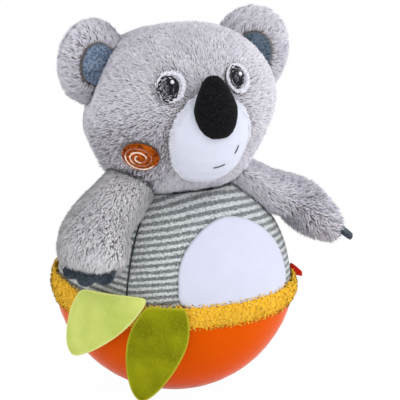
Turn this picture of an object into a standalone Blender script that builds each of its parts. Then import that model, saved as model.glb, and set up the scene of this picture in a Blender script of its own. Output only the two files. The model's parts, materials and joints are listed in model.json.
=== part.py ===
"""A plush koala tumbler: a stuffed koala on a weighted plastic bowl with a chime inside.

Metres, +Z up, the front of the toy faces -Y, its left is +X. The origin is the middle of the flat
foot under the bowl.
"""

import math

import bmesh
import bpy
from mathutils import Matrix, Vector

# Fits
GAP = 0.0003            # between pieces that touch
SEW_GAP = 0.0004        # between stuffed pieces that are sewn together
SCREW_CLEARANCE = 0.0004
FILLING_GAP = 0.0009     # filling lies under the cover's facets

# Bowl
BOWL_RADIUS = 0.066
BOWL_WALL = 0.0024
FOOT_RADIUS = 0.010
LEDGE_HEIGHT = 0.044    # top of the ledge the lid sits on
LEDGE_REACH = 0.009     # how far it stands in from the wall
LEDGE_DEPTH = 0.005
RIM_RISE = 0.006         # rim of the bowl above the ledge
BOSS_RADIUS = 0.005
BOSS_HEIGHT = 0.0118
BORE_SPARE = 0.00225     # bore of the boss below the screw's end
BALLAST_HEIGHT = 0.0125  # top face of the weight

# Screws
SCREW_RADIUS = 0.0012
SCREW_HEAD_RADIUS = 0.0025
SCREW_HEAD_HEIGHT = 0.0015
SCREW_LENGTH = 0.0045    # shank below what it clamps
SCREW_HEAD_FLAT = 0.6     # share of the head's radius that is flat on top
WASHER_HEAD_RADIUS = 0.008

# Lid and chime
LID_THICKNESS = 0.0024
FLANGE_HEIGHT = 0.009
FLANGE_WALL = 0.0022
HEM_ROOM = 0.0008        # between the flange and the jersey hem around it
LID_SCREWS = 4
HUB_RADIUS = 0.018
HUB_THICKNESS = 0.005
HUB_SCREW_REACH = 0.009
HANGER_RADIUS = 0.0024
THROAT_LIP = 0.00048     # what keeps the hanger's ball in its seat
RODS = 6
ROD_RADIUS = 0.0013
ROD_REACH = 0.0145
ROD_SEAT = 0.003
ROD_LONGEST = 0.022
ROD_STEP = 0.0015
ROD_CHAMFER = 0.00039
PENDULUM_WIRE_RADIUS = 0.0008
STRIKER_RADIUS = 0.008
STRIKER_THICKNESS = 0.004
STRIKER_BEVEL = 0.0008
STRIKER_DROP = 0.016     # from the hanger's middle to the striker's top

# Torso and band
TORSO_INSET = 0.0024     # the body's skin inside the bowl's outer size
TORSO_CENTRE = 0.0595    # height of the middle of the round body
TORSO_WALL = 0.0028
FILLING_WALL = 0.004
BAND_RISE = 0.012        # top of the band above the bowl's rim
BAND_OVERLAP = 0.0035    # how far it hangs over the bowl
BAND_BULGE = 0.0036
SEAM_ANGLE = math.radians(61.0)
BELLY_HALF_ANGLE = math.radians(35.0)
BELLY_APEX = 0.105
BELLY_SHOULDER = 0.078   # where the arch begins
BELLY_SIDE_FULLNESS = 1.35  # 1 is a round foot, more is squarer
BELLY_FOOT_FULLNESS = 1.25
PATCH_THICKNESS = 0.0016
PATCH_CROWN = 0.4        # share of its thickness that is lost at its edge
TAG_REACH = 0.0065
TAG_HEIGHT = 0.0068
TAG_THICKNESS = 0.0012
TAG_BEVEL = 0.00036

# Head, whose body is turned about its own left-right axis
HEAD_HEIGHT = 0.157
HEAD_FORWARD = 0.005
HEAD_YAW = math.radians(-13.5)
HEAD_HALF_WIDTH = 0.0545
HEAD_RADIUS = 0.047
HEAD_FULLNESS = 2.4      # 2 is an ellipse, more is squarer
HEAD_WALL = 0.0028
NECK_RADIUS = 0.016
MUZZLE_CENTRE = Vector((0.0, -0.033, -0.008))
MUZZLE_HALF = Vector((0.0250, 0.024, 0.0245))
NOSE_CENTRE = Vector((0.0, -0.0515, 0.0128))
NOSE_HALF = Vector((0.0125, 0.0095, 0.0182))
NOSE_LEAN = math.radians(-14.0)
NOSE_TAPER = 0.22        # narrower at its top
NOSE_FULLNESS = 0.75     # 1 is an ellipse, less is blunter
EYE_PLACE = Vector((0.0188, -0.036, 0.024))
EYE_HALF = (0.0088, 0.0100)
PUPIL_HALF = (0.0058, 0.0070)
PUPIL_SHIFT = (0.0004, 0.0002)
STITCH_THICKNESS = 0.0008
STITCH_CROWN = 0.3
SWIRL_PLACE = Vector((-0.038, -0.035, -0.016))
SWIRL_RADIUS = 0.0105
EAR_INSET = 0.0063       # middle of an ear in from the side of the head
EAR_PLACE = Vector((HEAD_HALF_WIDTH - EAR_INSET, 0.008, 0.0282))
EAR_HALF = Vector((0.0222, 0.0090, 0.0258))
EAR_TURN = math.radians(9.0)
EAR_LEAN = math.radians(12.0)
LINING_HALF = (0.0115, 0.0140)
LINING_SHIFT = (0.0, 0.0005)
LINING_THICKNESS = 0.0012
LINING_CROWN = 0.3

# Arms: each swings about the axis through its shoulder, across its own direction
ARM_LENGTH = 0.0445      # from the shoulder's axis to the end of the paw
ARM_ROOT_RADIUS = 0.0115
ARM_ROOT_HALF_WIDTH = 0.0175
PAW_HALF_THICKNESS = 0.0132
PAW_HALF_WIDTH = 0.0215
PAW_END = 0.019          # length of the rounded end
PAW_BLUNTNESS = 0.6      # 1 is an elliptic end, less is squarer
SHOULDER_ANGLE = {"left": math.radians(42.0), "right": math.radians(46.0)}
SHOULDER_TOP = math.radians(66.0)  # how far up the round body the shoulders reach, under the head
ARM_HEADING = {"left": math.radians(65.0), "right": math.radians(-69.0)}
ARM_DROP = {"left": math.radians(37.0), "right": math.radians(42.0)}
SWING_FLARE = math.radians(5.0)  # the paw is thicker than the root
ARM_LIFT = {"left": math.radians(45.0), "right": math.radians(50.0)}  # how far each swings up
CLAWS = 3
CLAW_RADIUS = 0.0058
CLAW_PITCH = 0.0104
CLAW_REACH = 0.0035      # lobe centres past the paw's end
CLAW_STEP_BACK = 0.0030  # outer lobes behind the middle one
CLAW_LOBE_ANGLE = math.radians(75.6)  # half the arc of a lobe
CLAW_ROOT_MARGIN = 0.00312  # root of the strip past the outer lobes' centres
CLAW_THICKNESS = 0.0024

# Leaves hang from the waist. Each has the angle of its middle from the front, how far its top rises
# above the band, its widest half width and that at the seam, how far it hangs, how far its tip is
# swept aside and how far it lies off the band
LEAF_THICKNESS = 0.003
LEAF_CROWN = 0.55
LEAF_FLARE = math.radians(8.0)  # below the band
LEAF_SHOULDER = 2.2      # how soon below the seam it is at its widest
LEAF_POINT = 2.4         # how late it narrows to its tip
LEAF_TIP = 0.8           # less is a blunter tip
LEAVES = {
    "leaf_light": {"at": math.radians(-66.0), "rise": 0.0035, "half_width": 0.0195,
                   "root_half_width": 0.01794, "length": 0.0345, "sweep": -0.022, "off": 0.0003},
    "leaf_dark": {"at": math.radians(-40.5), "rise": 0.0005, "half_width": 0.0172,
                  "root_half_width": 0.01032, "length": 0.0520, "sweep": -0.011, "off": 0.0},
}

# Facets
ROUND = 40
MIDDLE_ROUND = 24
SMALL_ROUND = 12
ARC_STEPS = 9


def clear_scene():
    for old in list(bpy.data.objects):
        bpy.data.objects.remove(old, do_unlink=True)


def material(name, colour, roughness, metallic=0.0):
    made = bpy.data.materials.new(name)
    made.use_nodes = True
    shader = made.node_tree.nodes["Principled BSDF"]
    shader.inputs["Base Color"].default_value = (*colour, 1.0)
    shader.inputs["Roughness"].default_value = roughness
    shader.inputs["Metallic"].default_value = metallic
    made.diffuse_color = (*colour, 1.0)
    return made


def add_object(name, build, finish=None, parent=None):
    """Makes an object from a bmesh, facing out, in its parent's frame."""
    bmesh.ops.recalc_face_normals(build, faces=build.faces)
    mesh = bpy.data.meshes.new(name)
    build.to_mesh(mesh)
    build.free()
    mesh.shade_smooth()
    mesh.set_sharp_from_angle(angle=math.radians(40.0))
    made = bpy.data.objects.new(name, mesh)
    bpy.context.collection.objects.link(made)
    made.parent = parent
    if finish:
        mesh.materials.append(finish)
    else:
        made.hide_render = True
        made.display_type = "WIRE"
    return made


def pivot(name, place, turn=Matrix.Identity(3)):
    made = bpy.data.objects.new(name, None)
    made.empty_display_size = 0.01
    made.matrix_world = Matrix.Translation(place) @ turn.to_4x4()
    bpy.context.collection.objects.link(made)
    return made


def boolean(target, tool, operation="DIFFERENCE"):
    cut = target.modifiers.new(tool.name, "BOOLEAN")
    cut.operation = operation
    cut.object = tool
    cut.solver = "EXACT"
    return target


def arc(radius, centre, from_height, to_height, steps=ARC_STEPS):
    """Points (r, z) on a circle about the axis, between two heights, spaced evenly by angle."""
    start = math.asin(max(-1.0, min(1.0, (from_height - centre) / radius)))
    end = math.asin(max(-1.0, min(1.0, (to_height - centre) / radius)))
    angles = [start + (end - start) * i / steps for i in range(steps + 1)]
    return [(radius * math.cos(a), centre + radius * math.sin(a)) for a in angles]


def lathe_mesh(profile, segments=ROUND, axis="Z"):
    """A closed outline of (r, z) points turned about an axis. Points at r = 0 become poles."""
    build = bmesh.new()
    columns = []
    for radius, height in profile:
        if radius < 1e-7:
            pole = build.verts.new((0.0, 0.0, height))
            columns.append([pole] * segments)
            continue
        ring = []
        for i in range(segments):
            angle = 2 * math.pi * i / segments
            ring.append(build.verts.new((radius * math.cos(angle), radius * math.sin(angle), height)))
        columns.append(ring)
    for lower, upper in zip(columns, columns[1:] + columns[:1]):
        for i in range(segments):
            corners = [lower[i], lower[(i + 1) % segments], upper[(i + 1) % segments], upper[i]]
            distinct = list(dict.fromkeys(corners))
            if len(distinct) > 2:
                build.faces.new(distinct)
    if axis == "X":
        bmesh.ops.transform(build, matrix=Matrix.Rotation(math.pi / 2, 4, "Y"), verts=build.verts)
    return build


def loft_mesh(rings, first_pole, last_pole):
    """Rings of equally many points, closed at both ends by a pole."""
    build = bmesh.new()
    loops = [[build.verts.new(p) for p in ring] for ring in rings]
    for lower, upper in zip(loops, loops[1:]):
        for i in range(len(lower)):
            j = (i + 1) % len(lower)
            build.faces.new((lower[i], lower[j], upper[j], upper[i]))
    for loop, pole in ((loops[0], first_pole), (loops[-1], last_pole)):
        tip = build.verts.new(pole)
        for i in range(len(loop)):
            build.faces.new((loop[i], loop[(i + 1) % len(loop)], tip))
    return build


def pad_mesh(outline, place, thickness, gap, rings=3, crown=0.5, points=24):
    """A thin pad on a surface: outline(t) gives (u, v) for t in 0..1 and place(u, v, h) the point.

    Its underside lies gap above the surface and its top swells towards the middle.
    """
    build = bmesh.new()
    border = [outline(i / points) for i in range(points)]
    middle_u = sum(p[0] for p in border) / len(border)
    middle_v = sum(p[1] for p in border) / len(border)
    sides = []
    for upper in (False, True):
        loops = []
        for k in range(rings, 0, -1):
            share = k / rings
            swell = 1.0 - crown * share ** 2
            height = gap + (thickness * swell if upper else 0.0)
            loop = []
            for u, v in border:
                here_u = middle_u + (u - middle_u) * share
                here_v = middle_v + (v - middle_v) * share
                loop.append(build.verts.new(place(here_u, here_v, height)))
            loops.append(loop)
        centre = build.verts.new(place(middle_u, middle_v, gap + (thickness if upper else 0.0)))
        for outer, inner in zip(loops, loops[1:]):
            for i in range(len(outer)):
                j = (i + 1) % len(outer)
                build.faces.new((outer[i], outer[j], inner[j], inner[i]))
        for i in range(len(border)):
            build.faces.new((loops[-1][i], loops[-1][(i + 1) % len(border)], centre))
        sides.append(loops[0])
    for i in range(len(border)):
        j = (i + 1) % len(border)
        build.faces.new((sides[0][i], sides[0][j], sides[1][j], sides[1][i]))
    return build


def ellipsoid_mesh(half, rings=10, segments=24, taper=0.0, fullness=1.0):
    """An ellipsoid about the origin, narrower in X and Y towards +Z by taper, or blunter."""
    loops = []
    for k in range(1, rings):
        polar = math.pi * k / rings
        height = -math.cos(polar)
        across = (1.0 - taper * max(0.0, height)) * math.sin(polar) ** fullness
        loop = []
        for i in range(segments):
            angle = 2 * math.pi * i / segments
            loop.append((half.x * across * math.cos(angle), half.y * across * math.sin(angle),
                         half.z * height))
        loops.append(loop)
    return loft_mesh(loops, (0.0, 0.0, -half.z), (0.0, 0.0, half.z))


def cylinders_mesh(places, radius, low, high, segments=SMALL_ROUND):
    """Upright cylinders at (x, y) places, for cutting holes."""
    build = bmesh.new()
    for x, y in places:
        where = Matrix.Translation((x, y, (low + high) / 2))
        bmesh.ops.create_cone(build, cap_ends=True, segments=segments, radius1=radius,
                              radius2=radius, depth=high - low, matrix=where)
    return build


def on_circle(count, radius, start=0.0):
    return [(radius * math.cos(start + 2 * math.pi * i / count),
             radius * math.sin(start + 2 * math.pi * i / count)) for i in range(count)]


def around(angle, radius, height):
    """A point at an angle from the front, positive towards the toy's left."""
    return Vector((radius * math.sin(angle), -radius * math.cos(angle), height))


# Places that follow from the sizes above
TORSO_RADIUS = BOWL_RADIUS - TORSO_INSET
RIM_HEIGHT = LEDGE_HEIGHT + RIM_RISE
BAND_TOP = RIM_HEIGHT + BAND_RISE
BAND_BOTTOM = RIM_HEIGHT - BAND_OVERLAP
BOWL_CENTRE = math.sqrt(BOWL_RADIUS ** 2 - FOOT_RADIUS ** 2)
BOWL_INSIDE = BOWL_RADIUS - BOWL_WALL
LID_BOTTOM = LEDGE_HEIGHT + GAP
LID_TOP = LID_BOTTOM + LID_THICKNESS
FLANGE_TOP = LID_TOP + FLANGE_HEIGHT
HUB_TOP = LID_BOTTOM - GAP
HUB_BOTTOM = HUB_TOP - HUB_THICKNESS
HANGER_HEIGHT = HUB_TOP - HUB_THICKNESS / 2
HEM_BOTTOM = RIM_HEIGHT + SEW_GAP
SHOULDER_REACH = TORSO_RADIUS + SEW_GAP + ARM_ROOT_RADIUS


def circle_radius(radius, centre, height):
    return math.sqrt(radius ** 2 - (height - centre) ** 2)


LID_RADIUS = circle_radius(BOWL_INSIDE, BOWL_CENTRE, LID_BOTTOM) - GAP
LEDGE_RADIUS = circle_radius(BOWL_INSIDE, BOWL_CENTRE, LEDGE_HEIGHT) - LEDGE_REACH
FLANGE_RADIUS = circle_radius(TORSO_RADIUS - TORSO_WALL, TORSO_CENTRE, HEM_BOTTOM) - HEM_ROOM
LID_SCREW_REACH = FLANGE_RADIUS - FLANGE_WALL - SCREW_HEAD_RADIUS - SCREW_CLEARANCE
LID_SCREW_PLACES = on_circle(LID_SCREWS, LID_SCREW_REACH, math.pi / LID_SCREWS)
HUB_SCREW_PLACES = on_circle(2, HUB_SCREW_REACH)
ROD_PLACES = on_circle(RODS, ROD_REACH, math.pi / RODS)


def make_bowl():
    """The rocking bowl, with the lid's ledge and the boss that holds the weight."""
    orange = material("bowl_orange", (0.758, 0.107, 0.003), 0.22)
    ledge_bottom = LEDGE_HEIGHT - LEDGE_DEPTH
    slope_bottom = ledge_bottom - LEDGE_REACH
    profile = [(0.0, 0.0)]
    profile += arc(BOWL_RADIUS, BOWL_CENTRE, 0.0, RIM_HEIGHT, 11)
    profile += arc(BOWL_INSIDE, BOWL_CENTRE, RIM_HEIGHT, LEDGE_HEIGHT, 1)
    profile += [(LEDGE_RADIUS, LEDGE_HEIGHT), (LEDGE_RADIUS, ledge_bottom)]
    floor = BOWL_CENTRE - math.sqrt(BOWL_INSIDE ** 2 - BOSS_RADIUS ** 2)
    profile += arc(BOWL_INSIDE, BOWL_CENTRE, slope_bottom, floor, 7)
    bore = SCREW_RADIUS + SCREW_CLEARANCE
    profile += [(BOSS_RADIUS, BOSS_HEIGHT), (bore, BOSS_HEIGHT)]
    bore_bottom = BOSS_HEIGHT - SCREW_LENGTH - BORE_SPARE
    profile += [(bore, bore_bottom), (0.0, bore_bottom)]
    bowl = add_object("base_bowl", lathe_mesh(profile), orange)
    holes = cylinders_mesh(LID_SCREW_PLACES, bore, LEDGE_HEIGHT - SCREW_LENGTH - LID_THICKNESS,
                           LEDGE_HEIGHT + BOWL_WALL)
    return boolean(bowl, add_object("ledge_holes", holes))


def make_screw(name, place, under_head, length, head_radius=SCREW_HEAD_RADIUS):
    """A pan-head screw, its head seated at under_head."""
    steel = material(name + "_steel", (0.55, 0.55, 0.57), 0.32, 1.0)
    top = under_head + GAP + SCREW_HEAD_HEIGHT
    profile = [(0.0, under_head - length), (SCREW_RADIUS, under_head - length + SCREW_RADIUS / 2),
               (SCREW_RADIUS, under_head + GAP), (head_radius, under_head + GAP),
               (head_radius, top - SCREW_HEAD_HEIGHT / 2), (head_radius * SCREW_HEAD_FLAT, top), (0.0, top)]
    screw = add_object(name, lathe_mesh(profile, SMALL_ROUND), steel)
    screw.location = (place[0], place[1], 0.0)
    return screw


def make_ballast():
    """The cast-iron lens that fills the bottom of the bowl, with a hole for the boss."""
    iron = material("ballast_iron", (0.09, 0.09, 0.095), 0.6, 1.0)
    hole = BOSS_RADIUS + SCREW_CLEARANCE
    under = BOWL_INSIDE - GAP
    low = BOWL_CENTRE - math.sqrt(under ** 2 - hole ** 2)
    profile = arc(under, BOWL_CENTRE, low, BALLAST_HEIGHT, 6)
    profile += [(hole, BALLAST_HEIGHT)]
    add_object("ballast_weight", lathe_mesh(profile), iron)
    depth = SCREW_LENGTH + BALLAST_HEIGHT - BOSS_HEIGHT
    make_screw("ballast_screw", (0.0, 0.0), BALLAST_HEIGHT, depth, WASHER_HEAD_RADIUS)


def make_lid():
    """The lid on the ledge. Its flange carries the hem of the jersey body."""
    grey = material("lid_plastic", (0.62, 0.62, 0.6), 0.45)
    inside = FLANGE_RADIUS - FLANGE_WALL
    profile = [(0.0, LID_BOTTOM), (LID_RADIUS, LID_BOTTOM), (LID_RADIUS, LID_TOP),
               (FLANGE_RADIUS, LID_TOP), (FLANGE_RADIUS, FLANGE_TOP), (inside, FLANGE_TOP),
               (inside, LID_TOP), (0.0, LID_TOP)]
    lid = add_object("base_lid", lathe_mesh(profile), grey)
    holes = cylinders_mesh(LID_SCREW_PLACES + HUB_SCREW_PLACES, SCREW_RADIUS + SCREW_CLEARANCE,
                           LID_BOTTOM - LID_THICKNESS, LID_TOP + LID_THICKNESS)
    boolean(lid, add_object("lid_holes", holes))
    for number, place in enumerate(LID_SCREW_PLACES, 1):
        make_screw(f"lid_screw_{number}", place, LID_TOP, LID_THICKNESS + SCREW_LENGTH)
    for number, place in enumerate(HUB_SCREW_PLACES, 1):
        make_screw(f"hub_screw_{number}", place, LID_TOP, LID_THICKNESS + HUB_THICKNESS / 2)


def make_chime():
    """A hub under the lid, six tuned rods set in it and a ball seat for the striker's hanger."""
    plastic = material("hub_plastic", (0.7, 0.7, 0.68), 0.5)
    steel = material("rod_steel", (0.62, 0.62, 0.64), 0.2, 1.0)
    seat = HANGER_RADIUS + SCREW_CLEARANCE
    throat = HANGER_RADIUS - THROAT_LIP
    throat_height = HANGER_HEIGHT - math.sqrt(seat ** 2 - throat ** 2)
    profile = [(throat, HUB_BOTTOM), (HUB_RADIUS, HUB_BOTTOM), (HUB_RADIUS, HUB_TOP)]
    profile += [(seat, HUB_TOP), (seat, HANGER_HEIGHT)]
    profile += arc(seat, HANGER_HEIGHT, HANGER_HEIGHT, throat_height, 4)[1:]
    hub = add_object("chime_hub", lathe_mesh(profile, MIDDLE_ROUND), plastic)
    rod_hole = ROD_RADIUS + SCREW_CLEARANCE / 2
    seats = cylinders_mesh(ROD_PLACES, rod_hole, HUB_BOTTOM - ROD_SEAT, HUB_BOTTOM + ROD_SEAT)
    boolean(hub, add_object("rod_seats", seats))
    holes = cylinders_mesh(HUB_SCREW_PLACES, SCREW_RADIUS + SCREW_CLEARANCE,
                           HUB_BOTTOM - HUB_THICKNESS, HUB_TOP + HUB_THICKNESS)
    boolean(hub, add_object("hub_holes", holes))
    rod_top = HUB_BOTTOM + ROD_SEAT - GAP
    for number, (x, y) in enumerate(ROD_PLACES, 1):
        low = HUB_BOTTOM - ROD_LONGEST + ROD_STEP * (number - 1)
        outline = [(0.0, low), (ROD_RADIUS - ROD_CHAMFER, low), (ROD_RADIUS, low + ROD_CHAMFER),
                   (ROD_RADIUS, rod_top), (0.0, rod_top)]
        rod = add_object(f"chime_rod_{number}", lathe_mesh(outline, SMALL_ROUND), steel)
        rod.location = (x, y, 0.0)


def make_pendulum():
    """The striker hangs by a wire under a ball that turns in the hub's seat."""
    plastic = material("hanger_plastic", (0.75, 0.73, 0.7), 0.5)
    weight = material("striker_plastic", (0.5, 0.5, 0.52), 0.4)
    hanger = pivot("hanger_pivot", (0.0, 0.0, HANGER_HEIGHT))
    ball = Vector((HANGER_RADIUS, HANGER_RADIUS, HANGER_RADIUS))
    add_object("pendulum_link", ellipsoid_mesh(ball, 8, 16), plastic, hanger)
    wire_top = -HANGER_RADIUS - GAP
    low = -STRIKER_DROP - STRIKER_THICKNESS
    profile = [(0.0, low), (STRIKER_RADIUS - STRIKER_BEVEL, low), (STRIKER_RADIUS, low + STRIKER_BEVEL),
               (STRIKER_RADIUS, -STRIKER_DROP - STRIKER_BEVEL),
               (STRIKER_RADIUS - STRIKER_BEVEL, -STRIKER_DROP),
               (PENDULUM_WIRE_RADIUS, -STRIKER_DROP), (PENDULUM_WIRE_RADIUS, wire_top),
               (0.0, wire_top)]
    add_object("pendulum", lathe_mesh(profile, MIDDLE_ROUND), weight, hanger)


def waist_radius(height):
    """The outside of bowl or body under the band, with the gap that sewn pieces keep."""
    if height < (RIM_HEIGHT + HEM_BOTTOM) / 2:
        return circle_radius(BOWL_RADIUS, BOWL_CENTRE, height) + SEW_GAP
    return circle_radius(TORSO_RADIUS, TORSO_CENTRE, height) + SEW_GAP


def band_outside(height):
    """The band's swollen outer surface."""
    middle = (BAND_TOP + BAND_BOTTOM) / 2
    half = (BAND_TOP - BAND_BOTTOM) / 2
    across = max(-1.0, min(1.0, (height - middle) / half))
    base = waist_radius(max(BAND_BOTTOM, min(BAND_TOP, height)))
    return base + BAND_BULGE * math.sqrt(1.0 - across ** 2)


BAND_REACH = max(band_outside(BAND_BOTTOM + (BAND_TOP - BAND_BOTTOM) * i / 16) for i in range(17))


def make_band():
    yellow = material("band_plush", (0.883, 0.433, 0.029), 0.95)
    middle = (BAND_TOP + BAND_BOTTOM) / 2
    half = (BAND_TOP - BAND_BOTTOM) / 2
    steps = 8
    heights = [middle - half * math.cos(math.pi * i / steps) for i in range(steps + 1)]
    profile = [(band_outside(z), z) for z in heights]
    inside = [BAND_TOP, TORSO_CENTRE, HEM_BOTTOM, RIM_HEIGHT, BAND_BOTTOM]
    rim = circle_radius(BOWL_RADIUS, BOWL_CENTRE, RIM_HEIGHT) + SEW_GAP
    for height in inside[1:-1]:
        radius = rim if height <= HEM_BOTTOM else waist_radius(height)
        profile.append((radius, height))
    return add_object("fur_band", lathe_mesh(profile), yellow)


def make_torso(head_room):
    """The round jersey body, open at the hem and hollowed at its top for the head."""
    jersey = material("torso_jersey", (0.42, 0.45, 0.46), 0.9)
    fibre = material("torso_fibre", (0.85, 0.85, 0.83), 1.0)
    inner = TORSO_RADIUS - TORSO_WALL
    profile = arc(TORSO_RADIUS, TORSO_CENTRE, HEM_BOTTOM, TORSO_CENTRE + TORSO_RADIUS, 12)
    profile += arc(inner, TORSO_CENTRE, TORSO_CENTRE + inner, HEM_BOTTOM, 9)
    torso = add_object("torso_cover", lathe_mesh(profile), jersey)
    boolean(torso, head_room)
    stuffed = inner - FILLING_GAP
    core = stuffed - FILLING_WALL
    seat = FLANGE_TOP + GAP
    profile = arc(stuffed, TORSO_CENTRE, seat, TORSO_CENTRE + stuffed, 8)
    profile += arc(core, TORSO_CENTRE, TORSO_CENTRE + core, seat, 6)
    filling = add_object("torso_filling", lathe_mesh(profile, 32), fibre)
    boolean(filling, head_room)


def make_belly():
    """The white arch on the front, from the band up to its apex."""
    plush = material("belly_plush", (0.767, 0.796, 0.9), 0.95)
    low = BAND_TOP + SEW_GAP

    def outline(share):
        turn = 2 * math.pi * share
        side = math.cos(turn)
        if math.sin(turn) >= 0:
            rise = math.sin(turn)
            return BELLY_HALF_ANGLE * side, BELLY_SHOULDER + (BELLY_APEX - BELLY_SHOULDER) * rise
        squared = max(-1.0, min(1.0, BELLY_FOOT_FULLNESS * math.sin(turn)))
        side = max(-1.0, min(1.0, BELLY_SIDE_FULLNESS * side))
        return BELLY_HALF_ANGLE * side, BELLY_SHOULDER + (BELLY_SHOULDER - low) * squared

    def place(angle, height, off):
        return around(angle, circle_radius(TORSO_RADIUS + off, TORSO_CENTRE, height), height)

    patch = pad_mesh(outline, place, PATCH_THICKNESS, GAP, rings=7, crown=PATCH_CROWN, points=ROUND)
    add_object("belly_patch", patch, plush)


def make_tag():
    """A folded ribbon in the left side seam, just above the band."""
    red = material("tag_ribbon", (0.417, 0.021, 0.008), 0.7)
    low = BAND_TOP + SEW_GAP
    high = low + TAG_HEIGHT
    root = circle_radius(TORSO_RADIUS, TORSO_CENTRE, low) + GAP
    build = bmesh.new()
    where = Matrix.Translation((0.0, -root - TAG_REACH / 2, (low + high) / 2))
    size = Matrix.Diagonal((TAG_THICKNESS, TAG_REACH, TAG_HEIGHT, 1.0))
    bmesh.ops.create_cube(build, size=1.0, matrix=where @ size)
    bmesh.ops.bevel(build, geom=build.edges[:], offset=TAG_BEVEL, segments=1,
                    affect="EDGES")
    bmesh.ops.transform(build, matrix=Matrix.Rotation(SEAM_ANGLE, 4, "Z"), verts=build.verts)
    add_object("side_tag", build, red)


def head_mesh(off=0.0, steps=16, segments=40):
    """The head's rounded form, turned about its left-right axis and offset by off."""
    half_width = HEAD_HALF_WIDTH + off
    radius = HEAD_RADIUS + off
    power = 2.0 / HEAD_FULLNESS
    profile = []
    for i in range(steps + 1):
        angle = math.pi * i / steps - math.pi / 2
        across = math.copysign(abs(math.sin(angle)) ** power, math.sin(angle))
        around_axis = abs(math.cos(angle)) ** power
        profile.append((0.0 if i in (0, steps) else radius * around_axis, half_width * across))
    return lathe_mesh(profile, segments, axis="X")


def head_point(direction, off):
    """Where a ray from the head's middle leaves its surface, off above it."""
    across = abs(direction.x) / (HEAD_HALF_WIDTH + off)
    about = math.hypot(direction.y, direction.z) / (HEAD_RADIUS + off)
    reach = (across ** HEAD_FULLNESS + about ** HEAD_FULLNESS) ** (-1.0 / HEAD_FULLNESS)
    return direction * reach


def head_place(centre):
    """A flat chart of the head's surface about a point: u to the toy's left, v up."""
    ahead = centre.normalized()
    left = Vector((0.0, 0.0, 1.0)).cross(-ahead).normalized()
    if left.x < 0:
        left = -left
    up = left.cross(ahead).normalized()
    if up.z < 0:
        up = -up

    def place(u, v, off):
        return head_point(centre + left * u + up * v, off)

    return place


def oval(half, shift=(0.0, 0.0)):
    def outline(share):
        turn = 2 * math.pi * share
        return shift[0] + half[0] * math.cos(turn), shift[1] + half[1] * math.sin(turn)

    return outline


def neck_cutter(name, radius, head):
    """Opens the underside of the head, where it is sewn to the body."""
    build = bmesh.new()
    where = Matrix.Translation((0.0, 0.0, -HEAD_RADIUS))
    bmesh.ops.create_cone(build, cap_ends=True, segments=24, radius1=radius, radius2=radius,
                          depth=HEAD_RADIUS, matrix=where)
    return add_object(name, build, None, head)


def make_head(head):
    plush = material("head_plush", (0.5, 0.48, 0.53), 0.95)
    fibre = material("head_fibre", (0.85, 0.85, 0.83), 1.0)
    cover = add_object("head_cover", head_mesh(), plush, head)
    boolean(cover, add_object("head_inside", head_mesh(-HEAD_WALL, 12, 28), None, head))
    boolean(cover, neck_cutter("neck_opening", NECK_RADIUS, head))
    stuffed = -HEAD_WALL - FILLING_GAP
    core = stuffed - FILLING_WALL
    filling = add_object("head_filling", head_mesh(stuffed, 10, 24), fibre, head)
    boolean(filling, add_object("head_core", head_mesh(core, 10, 24), None, head))
    boolean(filling, neck_cutter("filling_opening", NECK_RADIUS - FILLING_WALL, head))


def make_muzzle(head, on_head):
    white = material("muzzle_plush", (0.684, 0.704, 0.8), 0.95)
    black = material("nose_fleece", (0.012, 0.012, 0.015), 0.9)
    muzzle = add_object("muzzle", ellipsoid_mesh(MUZZLE_HALF, 10, 24), white, head)
    muzzle.location = MUZZLE_CENTRE
    boolean(muzzle, on_head)
    inflated = ellipsoid_mesh(MUZZLE_HALF + Vector((SEW_GAP, SEW_GAP, SEW_GAP)), 10, 24)
    on_muzzle = add_object("muzzle_room", inflated, None, head)
    on_muzzle.location = MUZZLE_CENTRE
    nose = add_object("nose", ellipsoid_mesh(NOSE_HALF, 10, 20, NOSE_TAPER, NOSE_FULLNESS), black, head)
    nose.location = NOSE_CENTRE
    nose.rotation_euler = (NOSE_LEAN, 0.0, 0.0)
    boolean(nose, on_head)
    boolean(nose, on_muzzle)


def make_face(head):
    """Embroidered eyes and one cheek spiral, thin pads on the head."""
    thread = material("eye_thread", (0.8, 0.8, 0.84), 0.7)
    dark = material("pupil_thread", (0.02, 0.018, 0.022), 0.6)
    orange = material("swirl_thread", (0.45, 0.1, 0.02), 0.7)
    for side, sign in (("left", 1.0), ("right", -1.0)):
        centre = Vector((EYE_PLACE.x * sign, EYE_PLACE.y, EYE_PLACE.z))
        place = head_place(centre)
        white = pad_mesh(oval(EYE_HALF), place, STITCH_THICKNESS, GAP, 2, STITCH_CROWN)
        add_object(f"eye_white_{side}", white, thread, head)
        shift = (PUPIL_SHIFT[0] * sign, PUPIL_SHIFT[1])
        above = GAP + STITCH_THICKNESS + GAP
        pupil = pad_mesh(oval(PUPIL_HALF, shift), place, STITCH_THICKNESS, above, 2, STITCH_CROWN)
        add_object(f"pupil_{side}", pupil, dark, head)
    swirl = pad_mesh(oval((SWIRL_RADIUS, SWIRL_RADIUS)), head_place(SWIRL_PLACE),
                     STITCH_THICKNESS, GAP, 2, STITCH_CROWN)
    add_object("cheek_swirl", swirl, orange, head)


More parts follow.
